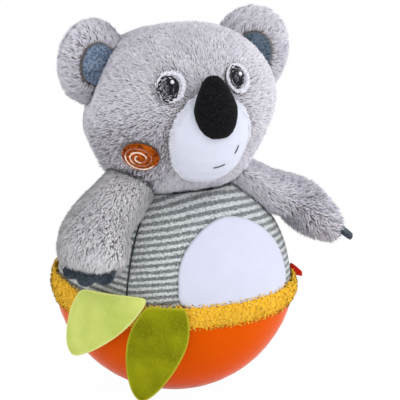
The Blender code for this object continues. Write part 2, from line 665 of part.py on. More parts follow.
def make_ears(head, on_head):
    plush = material("ear_plush", (0.5, 0.48, 0.53), 0.95)
    felt = material("ear_felt", (0.081, 0.11, 0.159), 0.95)
    for side, sign in (("left", 1.0), ("right", -1.0)):
        ear = add_object(f"ear_{side}", ellipsoid_mesh(EAR_HALF, 10, 24), plush, head)
        ear.location = (EAR_PLACE.x * sign, EAR_PLACE.y, EAR_PLACE.z)
        ear.rotation_euler = (0.0, EAR_LEAN * sign, -EAR_TURN * sign)
        boolean(ear, on_head)

        def place(u, v, off):
            inside = 1.0 - (u / EAR_HALF.x) ** 2 - (v / EAR_HALF.z) ** 2
            return Vector((u, -EAR_HALF.y * math.sqrt(inside) - off, v))

        outline = oval(LINING_HALF, LINING_SHIFT)
        lining = pad_mesh(outline, place, LINING_THICKNESS, GAP, crown=LINING_CROWN)
        patch = add_object(f"ear_lining_{side}", lining, felt, head)
        patch.location = ear.location
        patch.rotation_euler = ear.rotation_euler
        boolean(patch, on_head)


def arm_mesh(off=0.0):
    """A mitten arm along +X from its shoulder, as wide as its axis Y and thin in Z."""
    root = ARM_ROOT_RADIUS + off
    root_width = ARM_ROOT_HALF_WIDTH + off
    end = ARM_LENGTH - PAW_END
    stations = []
    root_steps = 4
    for i in range(1, root_steps):
        angle = math.pi / 2 * i / root_steps
        stations.append((-root * math.cos(angle), root * math.sin(angle), root_width * math.sin(angle)))
    body_steps = 5
    for i in range(body_steps):
        share = i / body_steps
        blend = share * share * (3 - 2 * share)
        thick = ARM_ROOT_RADIUS + (PAW_HALF_THICKNESS - ARM_ROOT_RADIUS) * blend + off
        wide = ARM_ROOT_HALF_WIDTH + (PAW_HALF_WIDTH - ARM_ROOT_HALF_WIDTH) * blend + off
        stations.append((end * share, thick, wide))
    end_steps = 5
    for i in range(end_steps):
        angle = math.pi / 2 * i / end_steps
        round_off = math.cos(angle) ** PAW_BLUNTNESS
        stations.append((end + (PAW_END + off) * math.sin(angle), (PAW_HALF_THICKNESS + off) * round_off,
                         (PAW_HALF_WIDTH + off) * round_off))
    rings = []
    sides = 20
    for x, thick, wide in stations:
        ring = []
        for i in range(sides):
            angle = 2 * math.pi * i / sides
            ring.append((x, wide * math.cos(angle), thick * math.sin(angle)))
        rings.append(ring)
    return loft_mesh(rings, (-root, 0.0, 0.0), (ARM_LENGTH + off, 0.0, 0.0))


def claws_mesh():
    """A felt strip with a scalloped edge of round lobes, flat in the arm's middle plane."""
    build = bmesh.new()
    outline = []
    lobe_steps = 7
    half = (CLAWS - 1) / 2
    for lobe in range(CLAWS):
        back = abs(lobe - half) * CLAW_STEP_BACK
        centre = Vector((ARM_LENGTH + CLAW_REACH - back, (lobe - half) * CLAW_PITCH))
        for i in range(lobe_steps + 1):
            angle = CLAW_LOBE_ANGLE * (2 * i / lobe_steps - 1)
            outline.append(centre + CLAW_RADIUS * Vector((math.cos(angle), math.sin(angle))))
    inside = ARM_LENGTH - PAW_END / 2
    root = half * CLAW_PITCH + CLAW_ROOT_MARGIN
    outline.append(Vector((inside, root)))
    outline.append(Vector((inside, -root)))
    lower = [build.verts.new((p.x, p.y, -CLAW_THICKNESS / 2)) for p in outline]
    upper = [build.verts.new((p.x, p.y, CLAW_THICKNESS / 2)) for p in outline]
    build.faces.new(lower)
    build.faces.new(upper)
    for i in range(len(outline)):
        j = (i + 1) % len(outline)
        build.faces.new((lower[i], lower[j], upper[j], upper[i]))
    return build


def swing_mesh(lift):
    """The room that an arm's root takes between rest and raised: a trough across the arm."""
    radius = ARM_ROOT_RADIUS + SEW_GAP
    arc_steps = 8
    outline = []
    for i in range(arc_steps + 1):
        angle = -math.pi / 2 - (math.pi - lift) * i / arc_steps
        outline.append((radius * math.cos(angle), radius * math.sin(angle)))
    top_x, top_z = outline[-1]
    slope = lift + SWING_FLARE
    outline.append((top_x + ARM_LENGTH * math.cos(slope), top_z + ARM_LENGTH * math.sin(slope)))
    outline.append((ARM_LENGTH, -radius))
    build = bmesh.new()
    half = ARM_ROOT_HALF_WIDTH + PAW_HALF_WIDTH
    sides = [[build.verts.new((x, y, z)) for x, z in outline] for y in (-half, half)]
    for side in sides:
        build.faces.new(side)
    for i in range(len(outline)):
        j = (i + 1) % len(outline)
        build.faces.new((sides[0][i], sides[0][j], sides[1][j], sides[1][i]))
    return build


def shoulder_mesh(heading, rise):
    """The inner end of an arm: a flat tube up the round body, from its shoulder to under the head."""
    across = Vector((math.cos(heading), math.sin(heading), 0.0))
    middle = Vector((0.0, 0.0, TORSO_CENTRE))
    steps = 4
    sides = 16
    rings, centres = [], []
    for i in range(steps + 1):
        angle = rise + (SHOULDER_TOP - rise) * i / steps
        out = around(heading, math.cos(angle), math.sin(angle))
        centre = middle + out * SHOULDER_REACH
        ring = []
        for k in range(sides):
            turn = 2 * math.pi * k / sides
            ring.append(centre + across * (ARM_ROOT_HALF_WIDTH * math.cos(turn))
                        + out * (ARM_ROOT_RADIUS * math.sin(turn)))
        rings.append(ring)
        centres.append(centre)
    return loft_mesh(rings, centres[0], centres[-1])


def make_arms(head):
    plush = material("arm_plush", (0.45, 0.43, 0.46), 0.95)
    felt = material("claw_felt", (0.051, 0.068, 0.081), 0.95)
    stitches = GAP + STITCH_THICKNESS
    cheek_room = add_object("cheek_room", head_mesh(stitches + SEW_GAP), None, head)
    for side in ("left", "right"):
        heading = ARM_HEADING[side]
        drop = ARM_DROP[side]
        rise = SHOULDER_ANGLE[side]
        place = around(heading, SHOULDER_REACH * math.cos(rise),
                       TORSO_CENTRE + SHOULDER_REACH * math.sin(rise))
        along = around(heading, math.cos(drop), -math.sin(drop))
        axis = Vector((0.0, 0.0, 1.0)).cross(along).normalized()
        upper = along.cross(axis)
        turn = Matrix((along, axis, upper)).transposed()
        hinge = pivot(f"arm_hinge_{side}", place, turn)
        add_object(f"arm_{side}", arm_mesh(), plush, hinge)
        claws = add_object(f"claws_{side}", claws_mesh(), felt, hinge)
        boolean(claws, add_object(f"paw_room_{side}", arm_mesh(SEW_GAP), None, hinge))
        shoulder = add_object(f"shoulder_{side}", shoulder_mesh(heading, rise), plush)
        boolean(shoulder, cheek_room)
        boolean(shoulder, add_object(f"swing_room_{side}", swing_mesh(ARM_LIFT[side]), None, hinge))


def make_leaf(name, size, colour):
    """A padded cloth leaf hung from the waist, pointed at its tip and flared off the bowl."""
    cloth = material(name + "_cloth", colour, 0.9)
    inner = BAND_REACH + SEW_GAP + size["off"]
    top = BAND_TOP + size["rise"]
    hinge = pivot(name + "_hinge", around(size["at"], inner + LEAF_THICKNESS, top),
                  Matrix.Rotation(size["at"], 3, "Z"))
    side_steps = 10
    points = 2 * side_steps + 4

    def half_width(down):
        swell = math.sin(math.pi / 2 * min(1.0, down * LEAF_SHOULDER))
        full = size["root_half_width"] + (size["half_width"] - size["root_half_width"]) * swell
        return full * (1.0 - down ** LEAF_POINT) ** LEAF_TIP

    def outline(share):
        step = share * points
        if step <= side_steps:
            down, side = step / side_steps, 1.0
        elif step <= 2 * side_steps:
            down, side = 2.0 - step / side_steps, -1.0
        else:
            down, side = 0.0, (step - 2 * side_steps) / 2 - 1.0
        return side * half_width(down) + size["sweep"] * down, down * size["length"]

    def place(across, down, off):
        below = max(0.0, down - (top - BAND_BOTTOM))
        radius = inner + off + below * math.tan(LEAF_FLARE)
        point = around(across / inner, radius, -down)
        return Vector((point.x, point.y + inner + LEAF_THICKNESS, point.z))

    build = pad_mesh(outline, place, LEAF_THICKNESS, 0.0, 4, LEAF_CROWN, points)
    add_object(name, build, cloth, hinge)


def main():
    clear_scene()
    forward = Matrix.Rotation(HEAD_YAW, 3, "Z")
    middle = forward @ Vector((0.0, -HEAD_FORWARD, 0.0)) + Vector((0.0, 0.0, HEAD_HEIGHT))
    head = pivot("head_pivot", middle, forward)
    head_room = add_object("head_room", head_mesh(SEW_GAP), None, head)
    make_bowl()
    make_ballast()
    make_lid()
    make_chime()
    make_pendulum()
    make_band()
    make_torso(head_room)
    make_belly()
    make_tag()
    make_head(head)
    make_muzzle(head, head_room)
    make_face(head)
    make_ears(head, head_room)
    make_arms(head)
    make_leaf("leaf_light", LEAVES["leaf_light"], (0.54, 0.619, 0.155))
    make_leaf("leaf_dark", LEAVES["leaf_dark"], (0.249, 0.262, 0.008))


main()
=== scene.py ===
import json
import math

import bmesh
import bpy
import numpy as np
from mathutils import Matrix, Vector
from mathutils.bvhtree import BVHTree
from mathutils.kdtree import KDTree


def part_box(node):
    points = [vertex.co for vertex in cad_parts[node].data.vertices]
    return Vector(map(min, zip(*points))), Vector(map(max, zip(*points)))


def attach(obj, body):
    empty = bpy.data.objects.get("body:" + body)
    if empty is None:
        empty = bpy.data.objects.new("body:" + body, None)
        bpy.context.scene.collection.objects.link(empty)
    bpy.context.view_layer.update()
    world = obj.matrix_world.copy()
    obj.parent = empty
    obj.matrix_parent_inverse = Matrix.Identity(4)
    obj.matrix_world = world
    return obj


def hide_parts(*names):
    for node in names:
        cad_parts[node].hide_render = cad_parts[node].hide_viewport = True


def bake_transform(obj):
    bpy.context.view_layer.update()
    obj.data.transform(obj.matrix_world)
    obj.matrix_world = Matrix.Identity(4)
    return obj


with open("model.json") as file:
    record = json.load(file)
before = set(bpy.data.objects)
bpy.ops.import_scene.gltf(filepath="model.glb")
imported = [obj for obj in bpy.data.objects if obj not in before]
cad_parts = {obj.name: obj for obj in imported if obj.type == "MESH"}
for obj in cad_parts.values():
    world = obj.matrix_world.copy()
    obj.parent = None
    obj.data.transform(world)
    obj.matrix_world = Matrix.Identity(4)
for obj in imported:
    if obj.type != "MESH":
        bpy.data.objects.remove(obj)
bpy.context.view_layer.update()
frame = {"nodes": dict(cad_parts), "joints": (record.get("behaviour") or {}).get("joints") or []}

# The photograph's view: near parallel, with its middle on a point of the toy
VIEW_AZIMUTH = math.radians(-37.0)
VIEW_ELEVATION = math.radians(16.0)
VIEW_DISTANCE = 8.0
VIEW_WIDTH = 0.2175            # metres across the picture at the toy
VIEW_ANCHOR = Vector((0.0, 0.0, 0.066))
VIEW_SHIFT = (0.01414, 0.03621)  # picture's middle from the anchor, right and up
PICTURE = 400                  # pixels across the photograph
SENSOR = 36.0                  # camera's sensor, in millimetres

WELD = 1e-6                    # CAD points closer than this are one
RIM_ANGLE = math.radians(38)   # edges of a CAD pad that are sharper than this are its seam
LUMP_WAVES = 7                 # sine waves that are added up for smooth noise
NORMAL_STEP = 0.001            # a normal is read between two heights this far apart

# Plush: cloth backing under the CAD surface, and tufts that stand on it
BACKING = 0.0022               # backing below the outer surface of the pile
TUFT_SPACING = 0.00076
TUFT_LENGTH = 0.0034
TUFT_HALF_WIDTH = 0.00034
TUFT_LENGTHS = (0.78, 1.12)    # the shortest and longest tuft, as shares of the usual one
TUFT_WIDTHS = (0.75, 1.25)
TUFT_TRIANGLES = 9
SCATTER_TRIES = 8              # random points for each tuft, thinned to one in each cell
FUR_TRIANGLES = 190000         # at most this many in one piece of fur
UPRIGHT = 0.9                  # how steeply a usual tuft leaves its root
ROOT_LEAN = 0.55               # how far its lower half follows the comb
TIP_RISE = 0.36                # how much of the steepness is left in its upper half
MIDDLE_WIDTH = 0.8             # its width half way up, as a share of its root's
CLUMP_TURN = 0.38              # clumps lean to one side
CLUMP_RISE, LOOSE_RISE = 0.16, 0.12    # clumps, and single tufts, stand up more or less
CLUMP_TONE, LOOSE_TONE = 0.22, 0.16    # and are paler or darker
RISE_SIZE, TONE_SIZE, RUFFLE_SIZE = 0.7, 0.8, 0.5   # size of each such place, as a share of a clump
RUFFLE_RISE = (0.35, 0.4)      # ruffled fur stands up: all of it, and its clumps
RUFFLE_SHADE = 0.25            # ruffled tufts are painted darker: painted shade
THINNING = 0.40                # share of tufts left out where the fur is ruffled
SEAM_REACH = 0.0006            # no tufts this near to a neighbour
STITCH_REACH = 0.0040          # tufts grow shorter towards embroidery
STITCH_SHORT = 0.45            # their length beside it, as a share

# Jersey: a round skin with three seams, striped in each panel between them
TORSO_COLUMNS, TORSO_ROWS = 220, 90
TORSO_DENTS = (0.0003, 0.03)   # depth and size of its soft unevenness
HEM = 0.955                    # the lower edge is turned in to this share of its radius
STRIPE_PITCH = 0.00342
STRIPE_START = 0.405           # where in its turn the stripe at the floor's height is
STRIPE_ARCH = 0.0097           # stripes fall towards the seams, more so higher up
STRIPE_ARCH_GROWTH = 0.043
STRIPE_ARCH_FROM = 0.062
SEAM_ANGLE = math.radians(61.0)
SEAMS = (-SEAM_ANGLE, SEAM_ANGLE, math.pi)
SEAM_DEPTH = 0.0009
SEAM_HALF_WIDTH = 0.0007
SEAM_SHADE = (0.25, 0.8)        # how near to a seam's middle its painted shade starts and is full
SEAM_FINE = np.radians(np.arange(-2.4, 2.41, 0.2))   # closer columns beside a seam,
SEAM_FREE = SEAM_FINE.max() * 1.2                    # and where the even ones start again

# Belly: its lower end goes down behind the band
BELLY_TUCK = 0.0024
BELLY_TUCK_HEIGHT = 0.006
BELLY_SEAM_SHADE = 0.0016            # width of the painted shade along its seam, where the seam draws the edge in

# Band
BAND_CURLS = (0.0005, 0.0026)  # depth and size of the core's curls
BAND_RAISE = 0.0050            # the upper edge is pushed up by the hanging arm
BAND_RAISE_SIDE = (0.044, 0.064)   # where this starts and is full, to the picture's left
BAND_OVERLAP = 0.0012          # the upper edge lies this far over the jersey
BAND_TUCK = 0.0026             # the lower edge is drawn in to the bowl
BAND_BACKING = 0.0005
BAND_SWIRL = (0.004, 3.0)      # size of the places where the pile is turned, and how far
BAND_DOWN = 0.35               # the pile's lean downwards
BAND_INNER = -0.15             # faces that look further inwards than this grow no fur
BAND_FUR = {"spacing": 0.0019, "length": 0.0019, "half_width": 0.0005, "backing": BAND_BACKING,
            "curl": 0.6, "clump": 0.0035, "lift": 0.05, "softness": 1.0, "stand": 0.25}

# Head form: turned about its nodding axis, squarer than an ellipse
HEAD_FULLNESS = 2.4
SEW_GAP = 0.0004
CHEEK_TUCK = (0.14, 0.070)     # how far the left and right cheek are drawn in, as shares of the radius
CHEEK_HEIGHTS = (-0.25, 0.45)  # where this starts and is full, as shares of the radius below the middle
CHEEK_ROUND = 1.5              # how soon it fades towards the front and back
COMB_DEPTHS = (-0.005, 0.035)  # fur is combed away from the nose in front, and down behind

# Fur that differs on the head: where it starts and is full, in metres from the head's middle
HEAD_FRINGE = 0.7              # longer fur where the head rests on the shoulders
FRINGE_HEIGHTS = (-0.036, -0.022)
FRINGE_SIDES = (0.008, 0.020)
RUFFLE = (0.4, 1.7)            # how much the left and right cheek's fur is ruffled; ruffled fur is also painted darker as shade, most on the shaded right cheek
RUFFLE_HEIGHTS = (-0.012, 0.014)
RUFFLE_SIDES = (0.012, 0.030)
RUFFLE_FRONT = (-0.015, 0.0)

# Face: where the photo's muzzle and nose differ from the plain forms
MUZZLE_WIDEN = 1.09
MUZZLE_FLARE = 14.0            # more width per metre above its middle
MUZZLE_RISE = 15.0             # more height per metre above its middle
# width of the painted shade along the muzzle's seam
MUZZLE_SEAM_SHADE = 0.0012
MUZZLE_FRINGE = 0.0028         # tufts up to this height above the head
MUZZLE_FUR = {"spacing": 0.0008, "length": 0.0020, "half_width": 0.0003, "backing": 0.0006,
              "softness": 0.8}
NOSE_TAPER = 0.17              # narrower at its top
NOSE_TAPER_HEIGHTS = (-0.003, 0.016)
NOSE_SHORTEN = 0.93            # lower half

# Ears: resized, lowered and moved in from their CAD places
LINING_SHARE = 0.92            # the part of the lining that the fur leaves free
LINING_DROP = 0.008            # it shrinks towards a point this far below its middle
LINING_SINK = 0.0010
EAR_TURN = 0.004               # the fur turns from the rim to the back over this depth
EAR_SHARE = {"left": 1.03, "right": 0.98}
EAR_DROP = {"left": 0.0040, "right": -0.0004}
EAR_INWARD = {"left": 0.0030, "right": 0.0010}
EAR_HOLLOW = 0.10              # the head is drawn in where an ear is sewn on, as a share of the radius
EAR_RAY = (0.862, -0.353, 0.363)   # from the head's middle to the left ear's root
EAR_HOLLOW_REACH = (math.cos(math.radians(34)), math.cos(math.radians(8)))
EAR_ROOT = 0.0065              # the ear reaches this far into the hollow,
EAR_ROOT_HEIGHT = 0.004        # with its points up to this height above the head
EAR_BACKING = 0.0030
EAR_PILE = 0.0046

# Arms: a tube from under the head, with rings along it
NECK_ANGLE = math.radians(64.0)  # how far up the round body its inner end lies
NECK_WIDTH = 0.86              # width of its inner end, as a share of its width at the shoulder
NECK_THICKNESS = 0.55          # and its thickness
SHOULDER_RINGS = 14
ARM_RINGS = 34
ARM_SIDES = 48
ARM_EASE = 4                   # rounds of smoothing of its centre line
ARM_SHIFT = {"left": 0.0, "right": 0.0056}  # the arm's sag along its joint's axis,
ARM_SHIFT_END = 0.35           # the share of it that is left at the paw,
ARM_SHIFT_FROM = 0.1           # and where along the arm it starts to fade
ARM_STATIONS = (-0.4, -0.1, 0.2, 0.4, 0.65, 0.85, 1.0)
ARM_FORMS = {                  # stuffing added at these stations on four sides, and the sunk middle line
    "left": {"outer": (0.0,) * 7, "inner": (0.0,) * 7,
             "sink": (0.0040, 0.0036, 0.0015, 0.0009, 0.0020, 0.0024, 0.0012),
             "above": (-0.0032, -0.0032, -0.0015, -0.0009, -0.0020, -0.0022, -0.0010),
             "below": (0.0, 0.0, -0.0025, -0.0005, -0.0014, -0.0028, -0.0012)},
    "right": {"outer": (-0.0045, -0.0018, 0.0028, 0.0030, 0.0020, 0.0022, 0.0010),
              "inner": (0.0, -0.0010, -0.0035, -0.0042, -0.0008, 0.0015, 0.0),
              "sink": (0.0,) * 7,
              "above": (0.0015, 0.0015, 0.0014, 0.0012, 0.0009, 0.0007, 0.0005), "below": (0.0,) * 7},
}
HUG_END = 0.35                 # how far along the arm it still lies on the body
HUG_SIDES = (-0.1, 0.5)        # the part of its underside that does, from its side (0) to below (1)
ARM_PILE = {"left": 0.0049, "right": 0.0044}
ARM_PAINTED_LIGHT = {"left": (-0.16, 0.25), "right": (0.40, 0.60)}    # tone added as painted light and shade: all over (darker on the left arm, lighter on the right) and paler at the side seams as painted edge light
ARM_PAINTED_LIGHT_SIDES = (0.45, 1.0)   # where the painted edge light at the seams starts and is full
# ruffled arm fur is also painted darker as shade, most on the shaded left arm
ARM_RUFFLE = {"left": 1.1, "right": 0.25}
ARM_RUFFLE_FROM = (-0.1, 0.4)
ARM_LIFT = {"left": 0.26, "right": 0.0}    # how far the arms' tufts stand up
PAW_FRINGE = {"left": 0.0, "right": 0.5}    # longer tufts over the claws
PAW_FRINGE_FROM = (0.75, 1.0)
CLAW_ROOT = 0.004              # the claws' strip inside the paw

JOINTS = {joint["name"]: joint for joint in frame["joints"]}


# Small sums


def unit(vectors):
    return vectors / np.maximum(np.linalg.norm(vectors, axis=-1, keepdims=True), 1e-12)


def smoothstep(low, high, values):
    share = np.clip((values - low) / (high - low), 0, 1)
    return share * share * (3 - 2 * share)


def view_axes():
    """Right, up and back of the photograph's camera, and the point in the picture's middle."""
    back = Vector((math.sin(VIEW_AZIMUTH) * math.cos(VIEW_ELEVATION),
                   -math.cos(VIEW_AZIMUTH) * math.cos(VIEW_ELEVATION), math.sin(VIEW_ELEVATION)))
    right = Vector((0, 0, 1)).cross(back).normalized()
    up = back.cross(right)
    target = VIEW_ANCHOR + right * VIEW_SHIFT[0] + up * VIEW_SHIFT[1]
    return right, up, back, target


# Reading the frame


def node_mesh(name):
    """A welded bmesh of a CAD node."""
    build = bmesh.new()
    build.from_mesh(frame["nodes"][name].data)
    bmesh.ops.remove_doubles(build, verts=build.verts, dist=WELD)
    return build


def node_arrays(name):
    """Welded vertices and triangles of a CAD node."""
    build = node_mesh(name)
    bmesh.ops.triangulate(build, faces=build.faces)
    build.verts.index_update()
    verts = np.array([v.co for v in build.verts], float).reshape(-1, 3)
    tris = np.array([[v.index for v in f.verts] for f in build.faces], int).reshape(-1, 3)
    build.free()
    return verts, tris


def mesh_arrays(mesh):
    """Vertices and triangles of a mesh."""
    mesh.calc_loop_triangles()
    return points_of(mesh), np.array([t.vertices for t in mesh.loop_triangles])


def neighbours_tree(names, meshes=()):
    """A search tree over several CAD nodes and meshes."""
    all_verts, all_tris, start = [], [], 0
    for verts, tris in [node_arrays(name) for name in names] + [mesh_arrays(mesh) for mesh in meshes]:
        all_verts.append(verts)
        all_tris.append(tris + start)
        start += len(verts)
    return BVHTree.FromPolygons(np.concatenate(all_verts).tolist(), np.concatenate(all_tris).tolist())


def distances(tree, points, limit):
    """How far each point is from the tree's surface, at most limit."""
    found = np.full(len(points), limit)
    for i, point in enumerate(points.tolist()):
        distance = tree.find_nearest(point, limit)[3]
        if distance is not None:
            found[i] = distance
    return found


class HeadForm:
    """The head's rounded form, read from its CAD node."""

    def __init__(self):
        joint = JOINTS["head_nod"]
        self.centre = np.array(joint["pos_m"])
        left = np.array(joint["axis"])
        self.left = left / np.linalg.norm(left)
        self.up = np.array((0.0, 0.0, 1.0))
        self.front = np.cross(self.left, self.up)
        local = self.to_local(node_arrays("head_cover")[0])
        self.half_width = np.abs(local[:, 0]).max()
        self.radius = np.hypot(local[:, 1], local[:, 2]).max()

    def to_local(self, points):
        """Left, front and up of the head's middle."""
        return (points - self.centre) @ np.stack((self.left, self.front, self.up), 1)

    def to_world(self, local):
        return self.centre + local @ np.stack((self.left, self.front, self.up))

    def plain_reach(self, local, off=0.0):
        """Moves local points along their rays onto the CAD surface, off above it."""
        across = np.abs(local[..., 0]) / (self.half_width + off)
        about = np.hypot(local[..., 1], local[..., 2]) / (self.radius + off)
        share = (across ** HEAD_FULLNESS + about ** HEAD_FULLNESS) ** (-1.0 / HEAD_FULLNESS)
        return local * share[..., None]

    def tucked(self, local):
        """The cheeks drawn in towards the chin, and the hollows where the ears are sewn on."""
        ray = unit(local)
        most = np.where(ray[..., 0] > 0, *CHEEK_TUCK)
        tuck = most * np.abs(ray[..., 0]) ** CHEEK_ROUND * smoothstep(*CHEEK_HEIGHTS, -ray[..., 2])
        facing = np.abs(ray[..., 0]) * EAR_RAY[0] + ray[..., 1] * EAR_RAY[1] + ray[..., 2] * EAR_RAY[2]
        tuck += EAR_HOLLOW * smoothstep(*EAR_HOLLOW_REACH, facing)
        return local * (1 - tuck)[..., None]

    def reach(self, local, off=0.0):
        """Moves local points along their rays onto the stuffed head, off above it."""
        return self.tucked(self.plain_reach(local, off))

    def underside(self, points, off):
        """Height of the head's lower surface at points, or infinity beside it."""
        local = self.to_local(points)
        across = np.clip(np.abs(local[:, 0]) / (self.half_width + off), 0, 1)
        about = (self.radius + off) * (1 - across ** HEAD_FULLNESS) ** (1 / HEAD_FULLNESS)
        depth = about ** 2 - local[:, 1] ** 2
        return np.where(depth > 0, self.centre[2] - np.sqrt(np.maximum(depth, 0)), np.inf)

    def chart(self, node):
        """The flat chart about a node on the head."""
        return Chart(self, node_arrays(node)[0].mean(0))


class Chart:
    """A flat chart of the head about a point: u to the toy's left and v up."""

    def __init__(self, head, point):
        self.head = head
        self.middle = head.reach(head.to_local(point))
        self.ahead = unit(self.middle)
        left = unit(np.cross(self.ahead, (0.0, 0.0, 1.0)))
        self.left = left * math.copysign(1.0, left[0])
        up = np.cross(self.ahead, self.left)
        self.up = up * math.copysign(1.0, up[2])
        self.shift = np.zeros(2)
        self.turn = np.eye(2)

    def moved(self, shift, tilt):
        """This chart about a shifted middle, tilted to the toy's left."""
        made = Chart(self.head, self.head.to_world(self.middle))
        made.shift = np.array(shift)
        made.turn = np.array(((math.cos(tilt), math.sin(tilt)), (-math.sin(tilt), math.cos(tilt))))
        return made

    def place(self, u, v, off):
        """Points of the head, off above its surface."""
        flat = np.stack(np.broadcast_arrays(np.asarray(u, float), np.asarray(v, float)), -1)
        flat = flat @ self.turn.T + self.shift
        return self.head.to_world(self.head.reach(
            self.middle + flat[..., :1] * self.left + flat[..., 1:] * self.up, off))

    def path(self, u, v, off):
        """Points of the head, off above its surface, and their normals."""
        points = self.place(u, v, off)
        return points, unit(self.place(u, v, off + NORMAL_STEP) - points)

    def find(self, points):
        """Where points lie on the chart, and how far above the head."""
        local = self.head.to_local(points)
        flat = local * (self.middle @ self.ahead / (local @ self.ahead))[:, None] - self.middle
        above = np.linalg.norm(local, axis=1) - np.linalg.norm(self.head.plain_reach(local), axis=1)
        return flat @ self.left, flat @ self.up, above

    def raise_to(self, u, v, above):
        """Points above the head, along rays from its middle."""
        local = self.head.to_local(self.place(u, v, 0.0))
        return self.head.to_world(local + unit(local) * above[:, None])


HEAD = HeadForm()


# Making objects


def add_object(name, data):
    made = bpy.data.objects.new(name, data)
    bpy.context.scene.collection.objects.link(made)
    return made


def add_piece(name, mesh, body, finish):
    """Puts a mesh in the scene as a piece that rides on a CAD body, or on none when no body is given."""
    made = add_object(name, mesh)
    mesh.materials.clear()
    mesh.materials.append(finish)
    mesh.polygons.foreach_set("use_smooth", np.full(len(mesh.polygons), True))
    if body:
        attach(made, body)
    return made


def add_soft(name, mesh, body, finish, node):
    """A stuffed or padded piece that stands for a soft CAD node."""
    made = add_piece(name, mesh, body, finish)
    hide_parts(node)


def mesh_from(name, verts, faces):
    mesh = bpy.data.meshes.new(name)
    mesh.from_pydata(np.asarray(verts).tolist(), [], [list(f) for f in faces])
    mesh.update()
    return mesh


def grid_faces(rows, columns, wrap=False):
    """Quads of a grid of points, joined round when wrap is set."""
    last = columns if wrap else columns - 1
    return [(r * columns + c, r * columns + (c + 1) % columns, (r + 1) * columns + (c + 1) % columns,
             (r + 1) * columns + c) for r in range(rows - 1) for c in range(last)]


def evaluated(name, mesh, modifiers):
    """The mesh after a list of (type, settings) modifiers."""
    worker = add_object(name + "_worker", mesh)
    for kind, settings in modifiers:
        modifier = worker.modifiers.new(kind, kind)
        for key, value in settings.items():
            setattr(modifier, key, value)
    graph = bpy.context.evaluated_depsgraph_get()
    made = bpy.data.meshes.new_from_object(worker.evaluated_get(graph))
    made.name = name
    bpy.data.objects.remove(worker, do_unlink=True)
    return made


def built(name, build):
    """A mesh from a bmesh that is done with."""
    mesh = bpy.data.meshes.new(name)
    build.to_mesh(mesh)
    build.free()
    return mesh


def rounded(levels):
    """The modifier that rounds a mesh off."""
    return "SUBSURF", {"levels": levels, "render_levels": levels}


def remeshed(name, node, voxel, rounds):
    """A smooth closed copy of a CAD solid in even quads."""
    return evaluated(name, built(name, node_mesh(node)), [
        ("REMESH", {"mode": "VOXEL", "voxel_size": voxel}),
        ("SMOOTH", {"factor": 0.5, "iterations": rounds})])


def quilted(name, node, levels=2):
    """A smooth copy of a thin CAD pad, from its own quads."""
    build = node_mesh(node)
    bmesh.ops.join_triangles(build, faces=build.faces, angle_face_threshold=math.radians(50),
                             angle_shape_threshold=math.radians(60))
    return evaluated(name, built(name, build), [rounded(levels)])


def vertex_vectors(mesh, kind):
    flat = np.empty(len(mesh.vertices) * 3)
    mesh.vertices.foreach_get(kind, flat)
    return flat.reshape(-1, 3)


def points_of(mesh):
    return vertex_vectors(mesh, "co")


def normals_of(mesh):
    return vertex_vectors(mesh, "normal")


def set_points(mesh, points):
    mesh.vertices.foreach_set("co", np.ascontiguousarray(points, np.float32).ravel())
    mesh.update()


def set_value(mesh, name, values):
    """A number per vertex that materials can read."""
    layer = mesh.attributes.get(name) or mesh.attributes.new(name, "FLOAT", "POINT")
    layer.data.foreach_set("value", np.ascontiguousarray(values, np.float32))


def lumps(points, scale, seed):
    """Smooth noise of about -1 to 1, the same on every run: coarse and fine turned sine waves."""
    rng = np.random.default_rng(seed)
    total, count = np.zeros(len(points)), LUMP_WAVES
    for finer, weight in ((1, 1.0), (2, 0.5)):
        waves = unit(rng.normal(size=(count, 3))) * (finer / scale) * 2 * math.pi
        phases = rng.uniform(0, 2 * math.pi, count)
        total += weight * np.sin(points @ waves.T + phases).sum(1) / (count / 2)
    return total


def rim_points(node):
    """Points along the sharp edges of a CAD pad, where its seam is."""
    build = node_mesh(node)
    found = []
    for edge in build.edges:
        if len(edge.link_faces) == 2 and edge.calc_face_angle() > RIM_ANGLE:
            a, b = (np.array(v.co) for v in edge.verts)
            found += [a + (b - a) * t for t in (0.0, 0.25, 0.5, 0.75)]
    build.free()
    return np.array(found)


def near_rim(mesh, rim, width):
    """1 at a mesh's points on the sewn rim, falling to 0 at width from it."""
    tree = KDTree(len(rim))
    for i, point in enumerate(rim):
        tree.insert(point, i)
    tree.balance()
    away = np.array([tree.find(point)[2] for point in points_of(mesh)])
    return 1 - smoothstep(0.0, width, away)


# Plush tufts


def surface_of(verts, tris, keep=None):
    """Corner points and smooth corner normals of triangles."""
    a, b, c = (verts[tris[:, k]] for k in range(3))
    facing = np.cross(b - a, c - a)
    smooth = np.zeros_like(verts)
    for k in range(3):
        np.add.at(smooth, tris[:, k], facing)
    smooth = unit(smooth)
    if keep is not None:
        chosen = keep((a + b + c) / 3, unit(facing))
        tris, facing = tris[chosen], facing[chosen]
    return verts[tris], smooth[tris], np.linalg.norm(facing, axis=1) / 2


def scatter(corners, corner_normals, areas, spacing, rng):
    """Points about spacing apart all over triangles, with their normals."""
    count = int(areas.sum() / spacing ** 2 * SCATTER_TRIES)
    pick = rng.choice(len(areas), count, p=areas / areas.sum())
    root = np.sqrt(rng.random(count))
    other = rng.random(count)
    weights = np.stack((1 - root, root * (1 - other), root * other), 1)[:, :, None]
    points = (corners[pick] * weights).sum(1)
    normals = unit((corner_normals[pick] * weights).sum(1))
    cells = np.floor(points / spacing).astype(np.int64)
    first = np.sort(np.unique(cells, axis=0, return_index=True)[1])
    return points[first], normals[first]


def tangent(vectors, normals):
    """Vectors laid flat on the surface, of unit length."""
    return unit(vectors - (vectors * normals).sum(-1, keepdims=True) * normals)


# A tuft's points: three at its root, three half way up and its tip
TUFT_TIP = (0, 0, 0, 0.5, 0.5, 0.5, 1.0)   # how far up each point is
TUFT_FACES = ((0, 1, 4, 3), (1, 2, 5, 4), (2, 0, 3, 5), (3, 4, 6), (4, 5, 6), (5, 3, 6))


